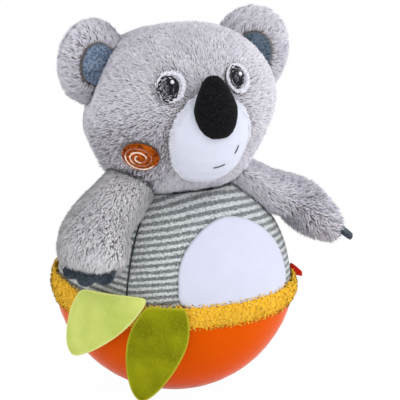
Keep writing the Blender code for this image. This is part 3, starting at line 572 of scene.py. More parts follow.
def tuft_mesh(name, roots, normals, lean, length, half_width, tone, softness, stand):
    """Curved three-sided tufts: lean is where each one's tip points, from its root's normal."""
    count = len(roots)
    first = unit(normals * stand + lean * ROOT_LEAN)
    second = unit(normals * (stand * TIP_RISE) + lean)
    middle = roots + first * (length * 0.5)[:, None]
    side = unit(np.cross(first, normals + 0.01 * lean) + 1e-6)
    other = np.cross(first, side)
    verts, shade = np.empty((2, count, len(TUFT_TIP), 3))
    for k in range(3):
        angle = math.pi / 2 + 2 * math.pi * k / 3
        out = math.cos(angle) * side + math.sin(angle) * other
        out = out - normals * ((out * normals).sum(-1, keepdims=True) * (1 - stand / UPRIGHT))
        verts[:, k] = roots + out * half_width[:, None]
        verts[:, 3 + k] = middle + out * (half_width * MIDDLE_WIDTH)[:, None]
        shade[:, k] = shade[:, 3 + k] = out
    verts[:, -1] = middle + second * (length * 0.5)[:, None]
    shade[:, -1] = normals
    shade = unit(shade * (1 - softness) + normals[:, None] * softness)
    start = (np.arange(count) * len(TUFT_TIP))[:, None]
    loops = start + np.concatenate(TUFT_FACES)
    sizes = np.tile([len(face) for face in TUFT_FACES], count)
    mesh = bpy.data.meshes.new(name)
    mesh.vertices.add(count * len(TUFT_TIP))
    mesh.vertices.foreach_set("co", verts.astype(np.float32).ravel())
    mesh.loops.add(loops.size)
    mesh.loops.foreach_set("vertex_index", loops.astype(np.int32).ravel())
    mesh.polygons.add(sizes.size)
    mesh.polygons.foreach_set("loop_start", (np.cumsum(sizes) - sizes).astype(np.int32))
    set_value(mesh, "tip", np.tile(TUFT_TIP, count))
    set_value(mesh, "tone", np.repeat(tone, len(TUFT_TIP)))
    tuft_chart(mesh, count)
    mesh.update(calc_edges=True)
    mesh.polygons.foreach_set("use_smooth", np.full(sizes.size, True))
    mesh.normals_split_custom_set_from_vertices(shade.reshape(-1, 3).tolist())
    return mesh


def tuft_chart(mesh, count):
    """A small square of the chart for each tuft, its three sides beside each other."""
    across = math.ceil(math.sqrt(count))
    low, middle, high = 0.1, 0.5, 0.9
    columns = [low + (high - low) * k / 3 for k in range(4)]
    corners = []
    for a, b in zip(columns, columns[1:]):
        corners += [(a, low), (b, low), (b, middle), (a, middle)]
    for a, b in zip(columns, columns[1:]):
        corners += [(a, middle), (b, middle), ((a + b) / 2, high)]
    cell = np.stack(np.divmod(np.arange(count), across)[::-1], 1)
    chart = (cell[:, None] + np.array(corners)) / across
    layer = mesh.uv_layers.new(name="OFBake")
    layer.data.foreach_set("uv", chart.astype(np.float32).ravel())


def grow_fur(name, surface, comb, body, slot, finish, blockers, seed, spacing=TUFT_SPACING,
             length=TUFT_LENGTH, half_width=TUFT_HALF_WIDTH, backing=BACKING, curl=0.25,
             softness=0.66, shorten=None, clump=0.005, lift=0.0, ruffle=None, painted_light=None, stand=UPRIGHT):
    """Fur on a surface, combed along comb(points), kept off the blockers. Returns its pieces.

    shorten, ruffle and the painted light function give a tuft's length share, roughness and the tone added
    as painted light and shade at points; ruffled fur is also painted darker as shade.
    """
    rng = np.random.default_rng(seed)
    points, normals = scatter(*surface, spacing, rng)
    near = distances(blockers, points, STITCH_REACH)
    rough = np.zeros(len(points)) if ruffle is None else ruffle(points)
    kept = (near > SEAM_REACH) & (rng.random(len(points)) > THINNING * rough)
    points, normals, rough = points[kept], normals[kept], rough[kept]
    count = len(points)
    lengths = length * rng.uniform(*TUFT_LENGTHS, count)
    if shorten is not None:
        lengths *= shorten(points)
    flow = tangent(comb(points), normals)
    aside = np.cross(normals, flow)
    swirl = (CLUMP_TURN * lumps(points, clump, seed + 1) + curl * rng.normal(size=count)) * (1 + rough)
    rise = lift + CLUMP_RISE * lumps(points, clump * RISE_SIZE, seed + 2)
    rise += LOOSE_RISE * rng.normal(size=count)
    rise += rough * (RUFFLE_RISE[0] + RUFFLE_RISE[1] * lumps(points, clump * RUFFLE_SIZE, seed + 4))
    lean = unit(flow + swirl[:, None] * aside) + rise[:, None] * normals
    patchy = CLUMP_TONE * lumps(points, clump * TONE_SIZE, seed + 3) + LOOSE_TONE * rng.normal(size=count)
    # ruffled fur's tone is lowered: painted shade
    tone = 0.5 - RUFFLE_SHADE * rough + patchy * (1 + rough)
    # painted light and shade added to the tufts' tone
    if painted_light is not None:
        tone += painted_light(points)
    tone = np.clip(tone, 0, 1)
    widths = half_width * rng.uniform(*TUFT_WIDTHS, count)
    tufts = (points - normals * backing, normals, lean, lengths, widths, tone)
    batches = math.ceil(count * TUFT_TRIANGLES / FUR_TRIANGLES)
    made = []
    for batch in range(batches):
        label = name if batches == 1 else f"{name}_{batch + 1}"
        mesh = tuft_mesh(label, *(values[batch::batches] for values in tufts), softness, stand)
        made.append(add_piece(label, mesh, body, finish))
    return made


# Materials


class Finish:
    """A node material: its shader's own sockets hold what is the same all over."""

    def __init__(self, name, roughness, **sockets):
        self.material = bpy.data.materials.new(name)
        self.material.use_nodes = True
        self.tree = self.material.node_tree
        self.shader = self.tree.nodes["Principled BSDF"]
        self.shader.inputs["Roughness"].default_value = roughness
        for socket, value in sockets.items():
            self.shader.inputs[socket.replace("_", " ")].default_value = value
        self.place = self.add("ShaderNodeTexCoord").outputs["Object"]

    def add(self, kind, **inputs):
        node = self.tree.nodes.new(kind)
        for name, value in inputs.items():
            self.put(node.inputs[name.replace("_", " ")], value)
        return node

    def put(self, socket, value):
        """Links an output to a socket, or sets its value."""
        if isinstance(value, bpy.types.NodeSocket):
            self.tree.links.new(value, socket)
        elif hasattr(value, "__len__") and len(value) == 3 and socket.type == "RGBA":
            socket.default_value = (*value, 1.0)
        else:
            socket.default_value = value

    def noise(self, size, detail=3.0, stretch=(1.0, 1.0, 1.0), seed=0.0):
        """Noise with features of about size metres."""
        moved = self.add("ShaderNodeMapping", Vector=self.place, Location=(seed, seed * 1.7, seed * 0.6),
                         Scale=stretch)
        made = self.add("ShaderNodeTexNoise", Vector=moved.outputs[0], Scale=0.5 / size, Detail=detail)
        return made.outputs["Fac"]

    def value(self, name):
        """A number stored on the mesh."""
        node = self.add("ShaderNodeAttribute")
        node.attribute_name = name
        return node.outputs["Fac"]

    def math(self, operation, first, second=0.0):
        node = self.tree.nodes.new("ShaderNodeMath")
        node.operation = operation
        self.put(node.inputs[0], first)
        self.put(node.inputs[1], second)
        return node.outputs[0]

    def blend(self, first, share, second, other):
        """The sum of two values, each times its share."""
        return self.math("ADD", self.math("MULTIPLY", first, share), self.math("MULTIPLY", second, other))

    def spread(self, value, low, high, to_low=0.0, to_high=1.0):
        node = self.add("ShaderNodeMapRange", Value=value)
        for name, number in (("From Min", low), ("From Max", high), ("To Min", to_low), ("To Max", to_high)):
            node.inputs[name].default_value = number
        return node.outputs[0]

    def mix(self, share, first, second, blend="MIX"):
        node = self.tree.nodes.new("ShaderNodeMix")
        node.data_type = "RGBA"
        node.blend_type = blend
        for index, value in ((0, share), (6, first), (7, second)):    # 6 and 7 take colours
            self.put(node.inputs[index], value)
        return node.outputs[2]

    def colour(self, value):
        self.put(self.shader.inputs["Base Color"], value)
        return self

    def rough(self, value):
        self.put(self.shader.inputs["Roughness"], value)
        return self

    def bump(self, height, depth):
        node = self.add("ShaderNodeBump", Height=height, Distance=depth, Strength=1.0)
        self.put(self.shader.inputs["Normal"], node.outputs[0])
        return self


def shaded(colour, share):
    return [channel * share for channel in colour]


def plush(name, root, tip, pale, shade=0.68, sheen=0.2):
    """Pile with painted shade towards its roots, lighter and darker tufts and broad soft patches; part of
    the tufts' tone is painted light and shade.
    """
    made = Finish(name, roughness=0.9, Specular_IOR_Level=sheen / 2, Sheen_Weight=sheen, Sheen_Roughness=0.6)
    tone = made.value("tone")
    ends = made.mix(made.spread(tone, 0.0, 0.3), shaded(tip, shade), tip)
    ends = made.mix(made.spread(tone, 0.3, 0.9), ends, pale)
    patches = made.spread(made.noise(0.012), 0.3, 0.7, 0.9, 1.06)
    # darker towards the root: painted shade down between the tufts
    along = made.spread(made.value("tip"), 0.05, 0.8)
    grown = made.mix(along, root, ends)
    tint = made.add("ShaderNodeCombineColor", Red=patches, Green=patches, Blue=patches).outputs[0]
    made.colour(made.mix(1.0, grown, tint, "MULTIPLY"))
    made.rough(made.spread(tone, 0.0, 1.0, 0.95, 0.82))
    return made.material


def grained(name, colour, shade, size, detail, depth, roughness, stretch=(1.0, 1.0, 1.0), **sockets):
    """One grain that is shaded in its hollows. Returns the finish and its grain."""
    made = Finish(name, roughness, **sockets)
    grain = made.noise(size, detail, stretch)
    made.colour(made.mix(grain, shaded(colour, shade), colour))
    return made.bump(grain, depth), grain


def backing(name, colour, shade=0.7):
    """Knitted cloth that the pile stands on."""
    made, _ = grained(name, colour, shade, size=0.0009, detail=3.0, depth=0.0003, roughness=0.95,
                      Specular_IOR_Level=0.1)
    return made.material


def jersey(name, dark, light, seam):
    """Heathered stripes of knitted yarn, with painted shade in the grooves of the side seams."""
    made = Finish(name, roughness=0.92, Specular_IOR_Level=0.15, Sheen_Weight=0.2, Sheen_Roughness=0.5)
    wander = made.spread(made.noise(0.0007, detail=4.0), 0.25, 0.75, -0.15, 0.15)
    turns = made.math("ADD", made.value("stripe"), wander)
    wave = made.math("SINE", made.math("MULTIPLY", turns, 2 * math.pi))
    band = made.spread(wave, -0.40, 0.55)
    flecks = made.noise(0.0005, detail=5.0, seed=0.3)
    dark_yarn = made.mix(made.spread(flecks, 0.40, 0.62), dark, shaded(dark, 2.3))
    light_yarn = made.mix(made.spread(flecks, 0.36, 0.54), shaded(light, 0.55), light)
    cloth = made.mix(band, dark_yarn, light_yarn)
    # painted shade in the seams' grooves
    made.colour(made.mix(made.value("seam"), cloth, seam))
    loops = made.add("ShaderNodeTexVoronoi", Vector=made.place, Scale=1100.0).outputs["Distance"]
    return made.bump(made.blend(loops, 0.5, flecks, 0.6), depth=0.00035).material


def velboa(name, colour, shade):
    """Smooth short pile: faint nap marks, a soft edge light and painted shade along its seam."""
    made = Finish(name, roughness=0.9, Specular_IOR_Level=0.15, Sheen_Weight=0.3, Sheen_Roughness=0.4)
    nap = made.noise(0.006, detail=2.0)
    pile = made.noise(0.0006, detail=4.0, seed=0.2)
    cloth = made.mix(made.spread(nap, 0.3, 0.7), shaded(colour, 0.96), colour)
    # painted shade along the seam
    made.colour(made.mix(made.value("seam"), cloth, shade))
    return made.bump(pile, depth=0.00018).material


def fleece(name, dark, light):
    """Black fleece with fine grey fibre ends."""
    made = Finish(name, roughness=0.95, Specular_IOR_Level=0.08, Sheen_Weight=0.02, Sheen_Roughness=0.5)
    curls = made.noise(0.00045, detail=5.0)
    made.colour(made.mix(made.spread(curls, 0.45, 0.75), dark, light))
    return made.bump(curls, depth=0.0004).material


def felt(name, dark, light):
    """Pressed wool: short mixed fibres."""
    made = Finish(name, roughness=0.95, Specular_IOR_Level=0.12, Sheen_Weight=0.12, Sheen_Roughness=0.5)
    fibres = made.noise(0.0007, detail=5.0, stretch=(1.0, 1.8, 1.2))
    clouds = made.noise(0.005, detail=2.0, seed=0.4)
    share = made.blend(fibres, 0.7, clouds, 0.3)
    made.colour(made.mix(made.spread(share, 0.40, 0.60), dark, light))
    return made.bump(fibres, depth=0.0005).material


def velour(name, colour, deep, pale):
    """Padded cloth with a brushed nap whose sheen is painted as lighter and darker patches."""
    made = Finish(name, roughness=0.85, Specular_IOR_Level=0.08, Sheen_Weight=0.12, Sheen_Roughness=0.35)
    nap = made.noise(0.010, detail=2.0)
    weave = made.noise(0.0005, detail=3.0, seed=0.6)
    # the nap's sheen painted as patches between deep and colour
    cloth = made.mix(made.spread(nap, 0.35, 0.68), deep, colour)
    cloth = made.mix(made.spread(weave, 0.5, 0.8, 0.0, 0.5), cloth, pale)
    made.colour(made.mix(made.value("edge"), cloth, pale))
    return made.bump(weave, depth=0.00015).material


def thread(name, dark, light, shine=0.4, twisted=0.25, grain=0.00025):
    """Shiny embroidery yarn: every stitch a little lighter or darker, twisted along its length."""
    made = Finish(name, roughness=0.45, Specular_IOR_Level=shine, Sheen_Weight=shine / 4)
    twist = made.noise(grain, detail=2.0)
    tone = made.blend(made.value("tone"), 1 - twisted, made.spread(twist, 0.36, 0.64), twisted)
    made.colour(made.mix(tone, dark, light))
    return made.bump(twist, depth=0.0001).material


def moulded(name, colour, roughness, wear):
    """Injection-moulded plastic: faint flow marks, orange-peel gloss and rubbed places."""
    made = Finish(name, roughness, Specular_IOR_Level=0.015)
    flow = made.noise(0.030, detail=2.0, stretch=(1.0, 1.0, 0.4))
    rubbed = made.noise(0.004, detail=5.0, seed=0.7)
    made.colour(made.mix(made.spread(flow, 0.3, 0.7), shaded(colour, 0.93), colour))
    made.rough(made.spread(rubbed, 0.35, 0.75, roughness, roughness + wear))
    return made.bump(made.noise(0.0016, detail=1.0, seed=0.1), depth=0.00002).material


def metal(name, colour, roughness, grain, depth):
    """Cast or drawn metal with its grain."""
    made, marks = grained(name, colour, shade=0.75, size=grain, detail=4.0, depth=depth, roughness=roughness,
                          stretch=(1.0, 1.0, 0.3), Metallic=1.0)
    return made.rough(made.spread(marks, 0.3, 0.7, roughness * 0.8, roughness * 1.25)).material


def wadding(name, colour):
    """Loose fibre filling."""
    made, _ = grained(name, colour, shade=0.8, size=0.0012, detail=6.0, depth=0.0006, roughness=1.0,
                      stretch=(0.4, 1.0, 1.0), Specular_IOR_Level=0.05, Sheen_Weight=0.3)
    return made.material


def ribbon(name, colour):
    """Woven satin ribbon."""
    made, _ = grained(name, colour, shade=0.7, size=0.0004, detail=2.0, depth=0.0001, roughness=0.6,
                      stretch=(1.0, 1.0, 3.0), Specular_IOR_Level=0.1, Sheen_Weight=0.04)
    return made.material


# The root colours are painted shade down between the tufts, strongest in the grey fur.
GREY_FUR = plush("grey_fur", (0.27, 0.240, 0.240), (0.85, 0.83, 0.97), (0.97, 0.96, 1.0))
YELLOW_FUR = plush("yellow_fur", (1.0, 0.52, 0.025), (1.0, 0.62, 0.06), (1.0, 0.74, 0.16),
                   shade=0.95, sheen=0.0)
WHITE_FUR = plush("white_fur", (0.76, 0.78, 0.89), (0.86, 0.88, 0.99), (0.92, 0.94, 1.0))
GREY_BACKING = backing("grey_backing", (0.30, 0.275, 0.28))
YELLOW_BACKING = backing("yellow_backing", (1.0, 0.56, 0.04), shade=0.92)
# the jersey's third colour is the painted shade in its seams
JERSEY = jersey("striped_knit", (0.125, 0.135, 0.14), (0.68, 0.715, 0.73), (0.05, 0.052, 0.054))
# the second colour of each pile is painted shade along its seam
MUZZLE_PILE = velboa("muzzle_pile", (0.71, 0.73, 0.86), (0.66, 0.67, 0.76))
WHITE_PILE = velboa("white_pile", (0.68, 0.70, 0.85), (0.50, 0.50, 0.57))
BLACK_FLEECE = fleece("black_fleece", (0.004, 0.004, 0.005), (0.018, 0.018, 0.021))
# the left lining's felt is a darker copy of the right's: painted shade
LINING_FELTS = {"right": felt("lining_felt", (0.060, 0.090, 0.150), (0.22, 0.285, 0.39)),
                "left": felt("lining_felt_shaded", (0.034, 0.054, 0.082), (0.125, 0.17, 0.225))}
CLAW_FELT = felt("claw_felt", (0.012, 0.018, 0.026), (0.06, 0.08, 0.105))
# deep is the darker patch of each velour's painted nap sheen
LIGHT_VELOUR = velour("light_velour", (0.68, 0.76, 0.20), (0.52, 0.62, 0.125), (0.77, 0.81, 0.28))
OLIVE_VELOUR = velour("olive_velour", (0.30, 0.315, 0.003), (0.18, 0.19, 0.001), (0.42, 0.42, 0.02))
WHITE_THREAD = thread("white_thread", (0.74, 0.74, 0.86), (0.96, 0.96, 1.0))
GREY_THREAD = thread("grey_thread", (0.36, 0.36, 0.42), (0.74, 0.74, 0.82))
MOUTH_THREAD = thread("mouth_thread", (0.045, 0.045, 0.06), (0.11, 0.11, 0.14))
DARK_THREAD = thread("dark_thread", (0.002, 0.002, 0.004), (0.62, 0.61, 0.70), shine=0.06, twisted=0.08)
RUST_THREAD = thread("rust_thread", (0.09, 0.010, 0.001), (0.72, 0.155, 0.008), shine=0.05, twisted=0.6,
                     grain=0.0011)
PEACH_THREAD = thread("peach_thread", (0.34, 0.055, 0.003), (1.0, 0.84, 0.72), shine=0.05, twisted=0.08)
ORANGE_PLASTIC = moulded("orange_plastic", (0.82, 0.105, 0.0005), roughness=0.22, wear=0.10)
INNER_PLASTIC = moulded("inner_plastic", (0.62, 0.62, 0.59), roughness=0.42, wear=0.12)
CAST_IRON = metal("cast_iron", (0.16, 0.16, 0.165), roughness=0.6, grain=0.0012, depth=0.0003)
SCREW_STEEL = metal("screw_steel", (0.62, 0.62, 0.63), roughness=0.3, grain=0.0006, depth=0.00003)
CHIME_STEEL = metal("chime_steel", (0.72, 0.72, 0.73), roughness=0.2, grain=0.0006, depth=0.00002)
FIBRE = wadding("fibre_filling", (0.82, 0.82, 0.80))
RED_RIBBON = ribbon("red_ribbon", (0.62, 0.014, 0.004))


# Body


def torso_form():
    """Radius of the round body and height of its middle."""
    verts, _ = node_arrays("torso_cover")
    outside = np.hypot(verts[:, 0], verts[:, 1])
    return outside.max(), verts[outside.argmax(), 2]


def make_torso():
    """The striped body: a round skin with sewn grooves, dished under the head."""
    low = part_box("torso_cover")[0][2]
    radius, centre = torso_form()
    around = seam_steps()
    lift = np.linspace(math.asin((low - centre) / radius), math.pi / 2, TORSO_ROWS)[:-1]
    angle, rise = (grid.ravel() for grid in np.meshgrid(around, lift))
    seam = np.exp(-(seam_gap(angle) * radius * np.cos(rise) / SEAM_HALF_WIDTH) ** 2)
    flat = np.stack((np.sin(angle) * np.cos(rise), -np.cos(angle) * np.cos(rise), np.sin(rise)), -1)
    dent, dent_size = TORSO_DENTS
    depth = SEAM_DEPTH * seam + dent * (1 - lumps(flat * radius, dent_size, seed=11))
    points = flat * (radius - depth)[:, None] + (0, 0, centre)
    points[:, 2] = np.minimum(points[:, 2], HEAD.underside(points, SEW_GAP))
    top, columns = len(points), len(around)
    pole = np.array([[0.0, 0.0, min(radius + centre, HEAD.underside(np.zeros((1, 3)), SEW_GAP)[0])]])
    turn = [(i, (i + 1) % columns) for i in range(columns)]
    faces = grid_faces(len(lift), columns, wrap=True)
    faces += [(top - columns + a, top - columns + b, top) for a, b in turn]
    faces += [(top + 1 + a, top + 1 + b, b, a) for a, b in turn]
    points = np.concatenate((points, pole, points[:columns] * (HEM, HEM, 1.0)))
    mesh = mesh_from("torso_jersey", points, faces)
    set_value(mesh, "stripe", stripe_turns(points, np.arctan2(points[:, 0], -points[:, 1])))
    # where the painted shade of the seams lies
    set_value(mesh, "seam", smoothstep(*SEAM_SHADE, np.append(seam, np.zeros(1 + columns))))
    add_soft("torso_jersey", mesh, "body", JERSEY, "torso_cover")


def seam_gap(angles):
    """The angle from each of angles to the nearest seam."""
    gaps = np.abs((angles[:, None] - np.array(SEAMS) + math.pi) % (2 * math.pi) - math.pi)
    return gaps.min(1)


def seam_steps():
    """Angles all the way round, closer together at the seams."""
    steps = np.linspace(-math.pi, math.pi, TORSO_COLUMNS, endpoint=False)
    dense = np.concatenate([(seam + SEAM_FINE + math.pi) % (2 * math.pi) - math.pi for seam in SEAMS])
    return np.sort(np.concatenate((steps[seam_gap(steps) > SEAM_FREE], dense)))


def stripe_turns(points, angle):
    """Stripes counted up the body: they arch in each panel between two seams."""
    middle = np.where(np.abs(angle) <= SEAM_ANGLE, 0.0, np.sign(angle) * (math.pi + SEAM_ANGLE) / 2)
    bow = 1 - np.cos(angle - middle)
    rise = STRIPE_ARCH + STRIPE_ARCH_GROWTH * (points[:, 2] - STRIPE_ARCH_FROM)
    return (points[:, 2] + rise * bow) / STRIPE_PITCH + STRIPE_START


def make_belly():
    """The white arch: a thin padded patch with painted shade along its seamed edge, its end behind the band.
    """
    mesh = quilted("belly_plush", "belly_patch")
    set_value(mesh, "seam", near_rim(mesh, rim_points("belly_patch"), BELLY_SEAM_SHADE))
    points = points_of(mesh)
    low = points[:, 2].min()
    points[:, 2] -= BELLY_TUCK * (1 - smoothstep(low, low + BELLY_TUCK_HEIGHT, points[:, 2]))
    set_points(mesh, points)
    add_soft("belly_plush", mesh, "body", WHITE_PILE, "belly_patch")


def tucked_under(points):
    """The band's lower edge drawn in against the bowl, its upper edge pushed up at the hanging arm."""
    low, high = (corner[2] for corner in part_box("fur_band"))
    middle = (low + high) / 2
    height = points[:, 2]
    side = -points @ np.array(view_axes()[0])
    raised = BAND_RAISE * smoothstep(*BAND_RAISE_SIDE, side) * smoothstep(low, high, height)
    raised += BAND_OVERLAP * smoothstep(middle, high, height)
    inward = BAND_TUCK * (1 - smoothstep(low, middle, height))
    return points - unit(points * (1, 1, 0)) * inward[:, None] + (0, 0, 1.0) * raised[:, None]


def make_band():
    """The curly plush waistband on its cloth core."""
    mesh = remeshed("band_core", "fur_band", voxel=0.0012, rounds=6)
    depth, size = BAND_CURLS
    curls = depth * (lumps(points_of(mesh), size, seed=22) - 1)
    set_points(mesh, tucked_under(points_of(mesh) + normals_of(mesh) * (curls - BAND_BACKING)[:, None]))
    add_soft("band_core", mesh, "body", YELLOW_BACKING, "fur_band")
    verts, tris = node_arrays("fur_band")

    def outer(middles, facing):
        return (facing * unit(middles * (1, 1, 0))).sum(1) > BAND_INNER

    def comb(points):
        rng = np.random.default_rng(seed=5)
        size, most = BAND_SWIRL
        turn = (lumps(points, size, seed=6) * most + rng.normal(size=len(points)))[:, None]
        around = unit(np.stack((-points[:, 1], points[:, 0], 0 * points[:, 0]), 1))
        return around * np.cos(turn) + np.array((0, 0, 1.0)) * np.sin(turn) - (0, 0, BAND_DOWN)

    grow_fur("band_fur", surface_of(tucked_under(verts), tris, outer), comb, "body", "yellow_plush",
             YELLOW_FUR, neighbours_tree(["leaf_light", "leaf_dark"]), seed=21, **BAND_FUR)


# Head


def is_outside(middles, facing):
    """Faces that look away from the middle of the head."""
    return ((middles - HEAD.centre) * facing).sum(1) > 0


def make_head():
    """The head's skin."""
    build = bmesh.new()
    bmesh.ops.create_icosphere(build, subdivisions=5, radius=1.0)
    mesh = built("head_skin", build)
    set_points(mesh, HEAD.to_world(HEAD.reach(points_of(mesh), -BACKING)))
    add_soft("head_skin", mesh, "head", GREY_BACKING, "head_cover")
    return mesh


def make_head_fur(sewn_on):
    """The head's fur, round the pieces sewn on it."""
    nose = node_arrays("nose")[0].mean(0)
    stitched = neighbours_tree([], sewn_on)

    def comb(points):
        behind = smoothstep(*COMB_DEPTHS, -HEAD.to_local(points)[:, 1])[:, None]
        return unit(points - nose) * (1 - behind) + np.array((0, 0, -1.0)) * behind

    def shorten(points):
        left, _, up = HEAD.to_local(points).T
        low = (1 - smoothstep(*FRINGE_HEIGHTS, up)) * smoothstep(*FRINGE_SIDES, np.abs(left))
        free = smoothstep(SEAM_REACH, STITCH_REACH, distances(stitched, points, STITCH_REACH))
        return (STITCH_SHORT + (1 - STITCH_SHORT) * free) * (1 + HEAD_FRINGE * low)

    def ruffle(points):
        left, front, up = HEAD.to_local(points).T
        low = 1 - smoothstep(*RUFFLE_HEIGHTS, up)
        ahead = smoothstep(*RUFFLE_FRONT, front)
        return np.where(left > 0, *RUFFLE) * low * ahead * smoothstep(*RUFFLE_SIDES, np.abs(left))

    verts, tris = node_arrays("head_cover")
    stuffed = HEAD.to_world(HEAD.reach(HEAD.to_local(verts)))
    corner = verts[tris]
    facing = unit(np.cross(corner[:, 1] - corner[:, 0], corner[:, 2] - corner[:, 0]))
    outer = tris[is_outside(corner.mean(1), facing)]
    blockers = neighbours_tree(["ear_left", "ear_right", "torso_cover"], sewn_on)
    grow_fur("head_fur", surface_of(stuffed, outer), comb, "head", "grey_plush", GREY_FUR, blockers,
             seed=31, shorten=shorten, ruffle=ruffle)


def make_muzzle():
    """The short white pile of the muzzle, drawn wide over the face and up beside the nose."""
    mesh = remeshed("muzzle_plush", "muzzle", voxel=0.0008, rounds=8)
    # painted shade along the muzzle's seam
    set_value(mesh, "seam", near_rim(mesh, rim_points("muzzle"), MUZZLE_SEAM_SHADE))
    chart = HEAD.chart("muzzle")
    u, v, above = chart.find(points_of(mesh))
    upper = np.maximum(v, 0.0)
    set_points(mesh, chart.raise_to(u * (MUZZLE_WIDEN + MUZZLE_FLARE * upper),
                                    v * (1 + MUZZLE_RISE * upper), above))
    add_soft("muzzle_plush", mesh, "head", MUZZLE_PILE, "muzzle")
    return mesh


def make_nose():
    """The fleece nose, narrow at its top."""
    mesh = remeshed("nose_fleece", "nose", voxel=0.0007, rounds=8)
    chart = HEAD.chart("nose")
    u, v, above = chart.find(points_of(mesh))
    taper = 1 - NOSE_TAPER * smoothstep(*NOSE_TAPER_HEIGHTS, v)
    set_points(mesh, chart.raise_to(u * taper, np.where(v < 0, v * NOSE_SHORTEN, v), above))
    add_soft("nose_fleece", mesh, "head", BLACK_FLEECE, "nose")
    return mesh


def make_muzzle_fur(muzzle, nose):
    """Short tufts on the muzzle's edge that hide its seam."""
    middle = points_of(nose).mean(0)
    chart = HEAD.chart("muzzle")

    def comb(points):
        return points - middle

    def at_seam(middles, facing):
        return is_outside(middles, facing) & (chart.find(middles)[2] < MUZZLE_FRINGE)

    grow_fur("muzzle_fur", surface_of(*mesh_arrays(muzzle), at_seam), comb, "head", "white_plush",
             WHITE_FUR, neighbours_tree([], [nose]), seed=33, **MUZZLE_FUR)


def make_ear(side, head, seed):
    """A plush ear and its lining, drawn in a little towards where it is sewn on."""
    verts, tris = node_arrays(f"ear_{side}")
    root = HEAD.to_world(HEAD.reach(HEAD.to_local(verts.mean(0))))

    def drawn_in(points):
        inward = HEAD.left * (-EAR_INWARD[side] if side == "left" else EAR_INWARD[side])
        local = HEAD.to_local(points)
        height = np.linalg.norm(local, axis=-1) - np.linalg.norm(HEAD.plain_reach(local), axis=-1)
        sunk = EAR_ROOT * (1 - smoothstep(0.0, EAR_ROOT_HEIGHT, height))
        moved = root + (points - root) * EAR_SHARE[side] + inward - HEAD.up * EAR_DROP[side]
        return moved - sunk[..., None] * unit(points - HEAD.centre)

    mesh = remeshed(f"ear_{side}_skin", f"ear_{side}", voxel=0.0012, rounds=6)
    set_points(mesh, drawn_in(points_of(mesh) - normals_of(mesh) * EAR_BACKING))
    add_soft(f"ear_{side}_skin", mesh, "head", GREY_BACKING, f"ear_{side}")
    lining, middle, front = make_lining(side, drawn_in)

    def comb(points):
        away = points - middle
        behind = smoothstep(0.0, EAR_TURN, -away @ front)[:, None]
        return unit(away) * (1 - behind) + unit(points - HEAD.centre) * behind

    grow_fur(f"ear_{side}_fur", surface_of(drawn_in(verts), tris), comb, "head", "grey_plush", GREY_FUR,
             neighbours_tree([], [head, lining]), seed, backing=EAR_BACKING, length=EAR_PILE)


def make_lining(side, drawn_in):
    """An ear's felt lining. Returns its mesh, its middle and the way it faces."""
    mesh = quilted(f"ear_{side}_lining", f"ear_lining_{side}")
    front = unit(lining_front(side))
    middle = drawn_in(points_of(mesh).mean(0))
    anchor = middle - HEAD.up * LINING_DROP
    points = anchor + (drawn_in(points_of(mesh)) - anchor) * LINING_SHARE
    set_points(mesh, points - front * LINING_SINK)
    add_soft(f"ear_{side}_lining", mesh, "head", LINING_FELTS[side], f"ear_lining_{side}")
    return mesh, middle, front


def lining_front(side):
    """The way an ear's lining faces: its thin direction, to the front."""
    verts, _ = node_arrays(f"ear_lining_{side}")
    thin = np.linalg.svd(verts - verts.mean(0))[2][2]
    return thin * math.copysign(1.0, thin @ HEAD.front)


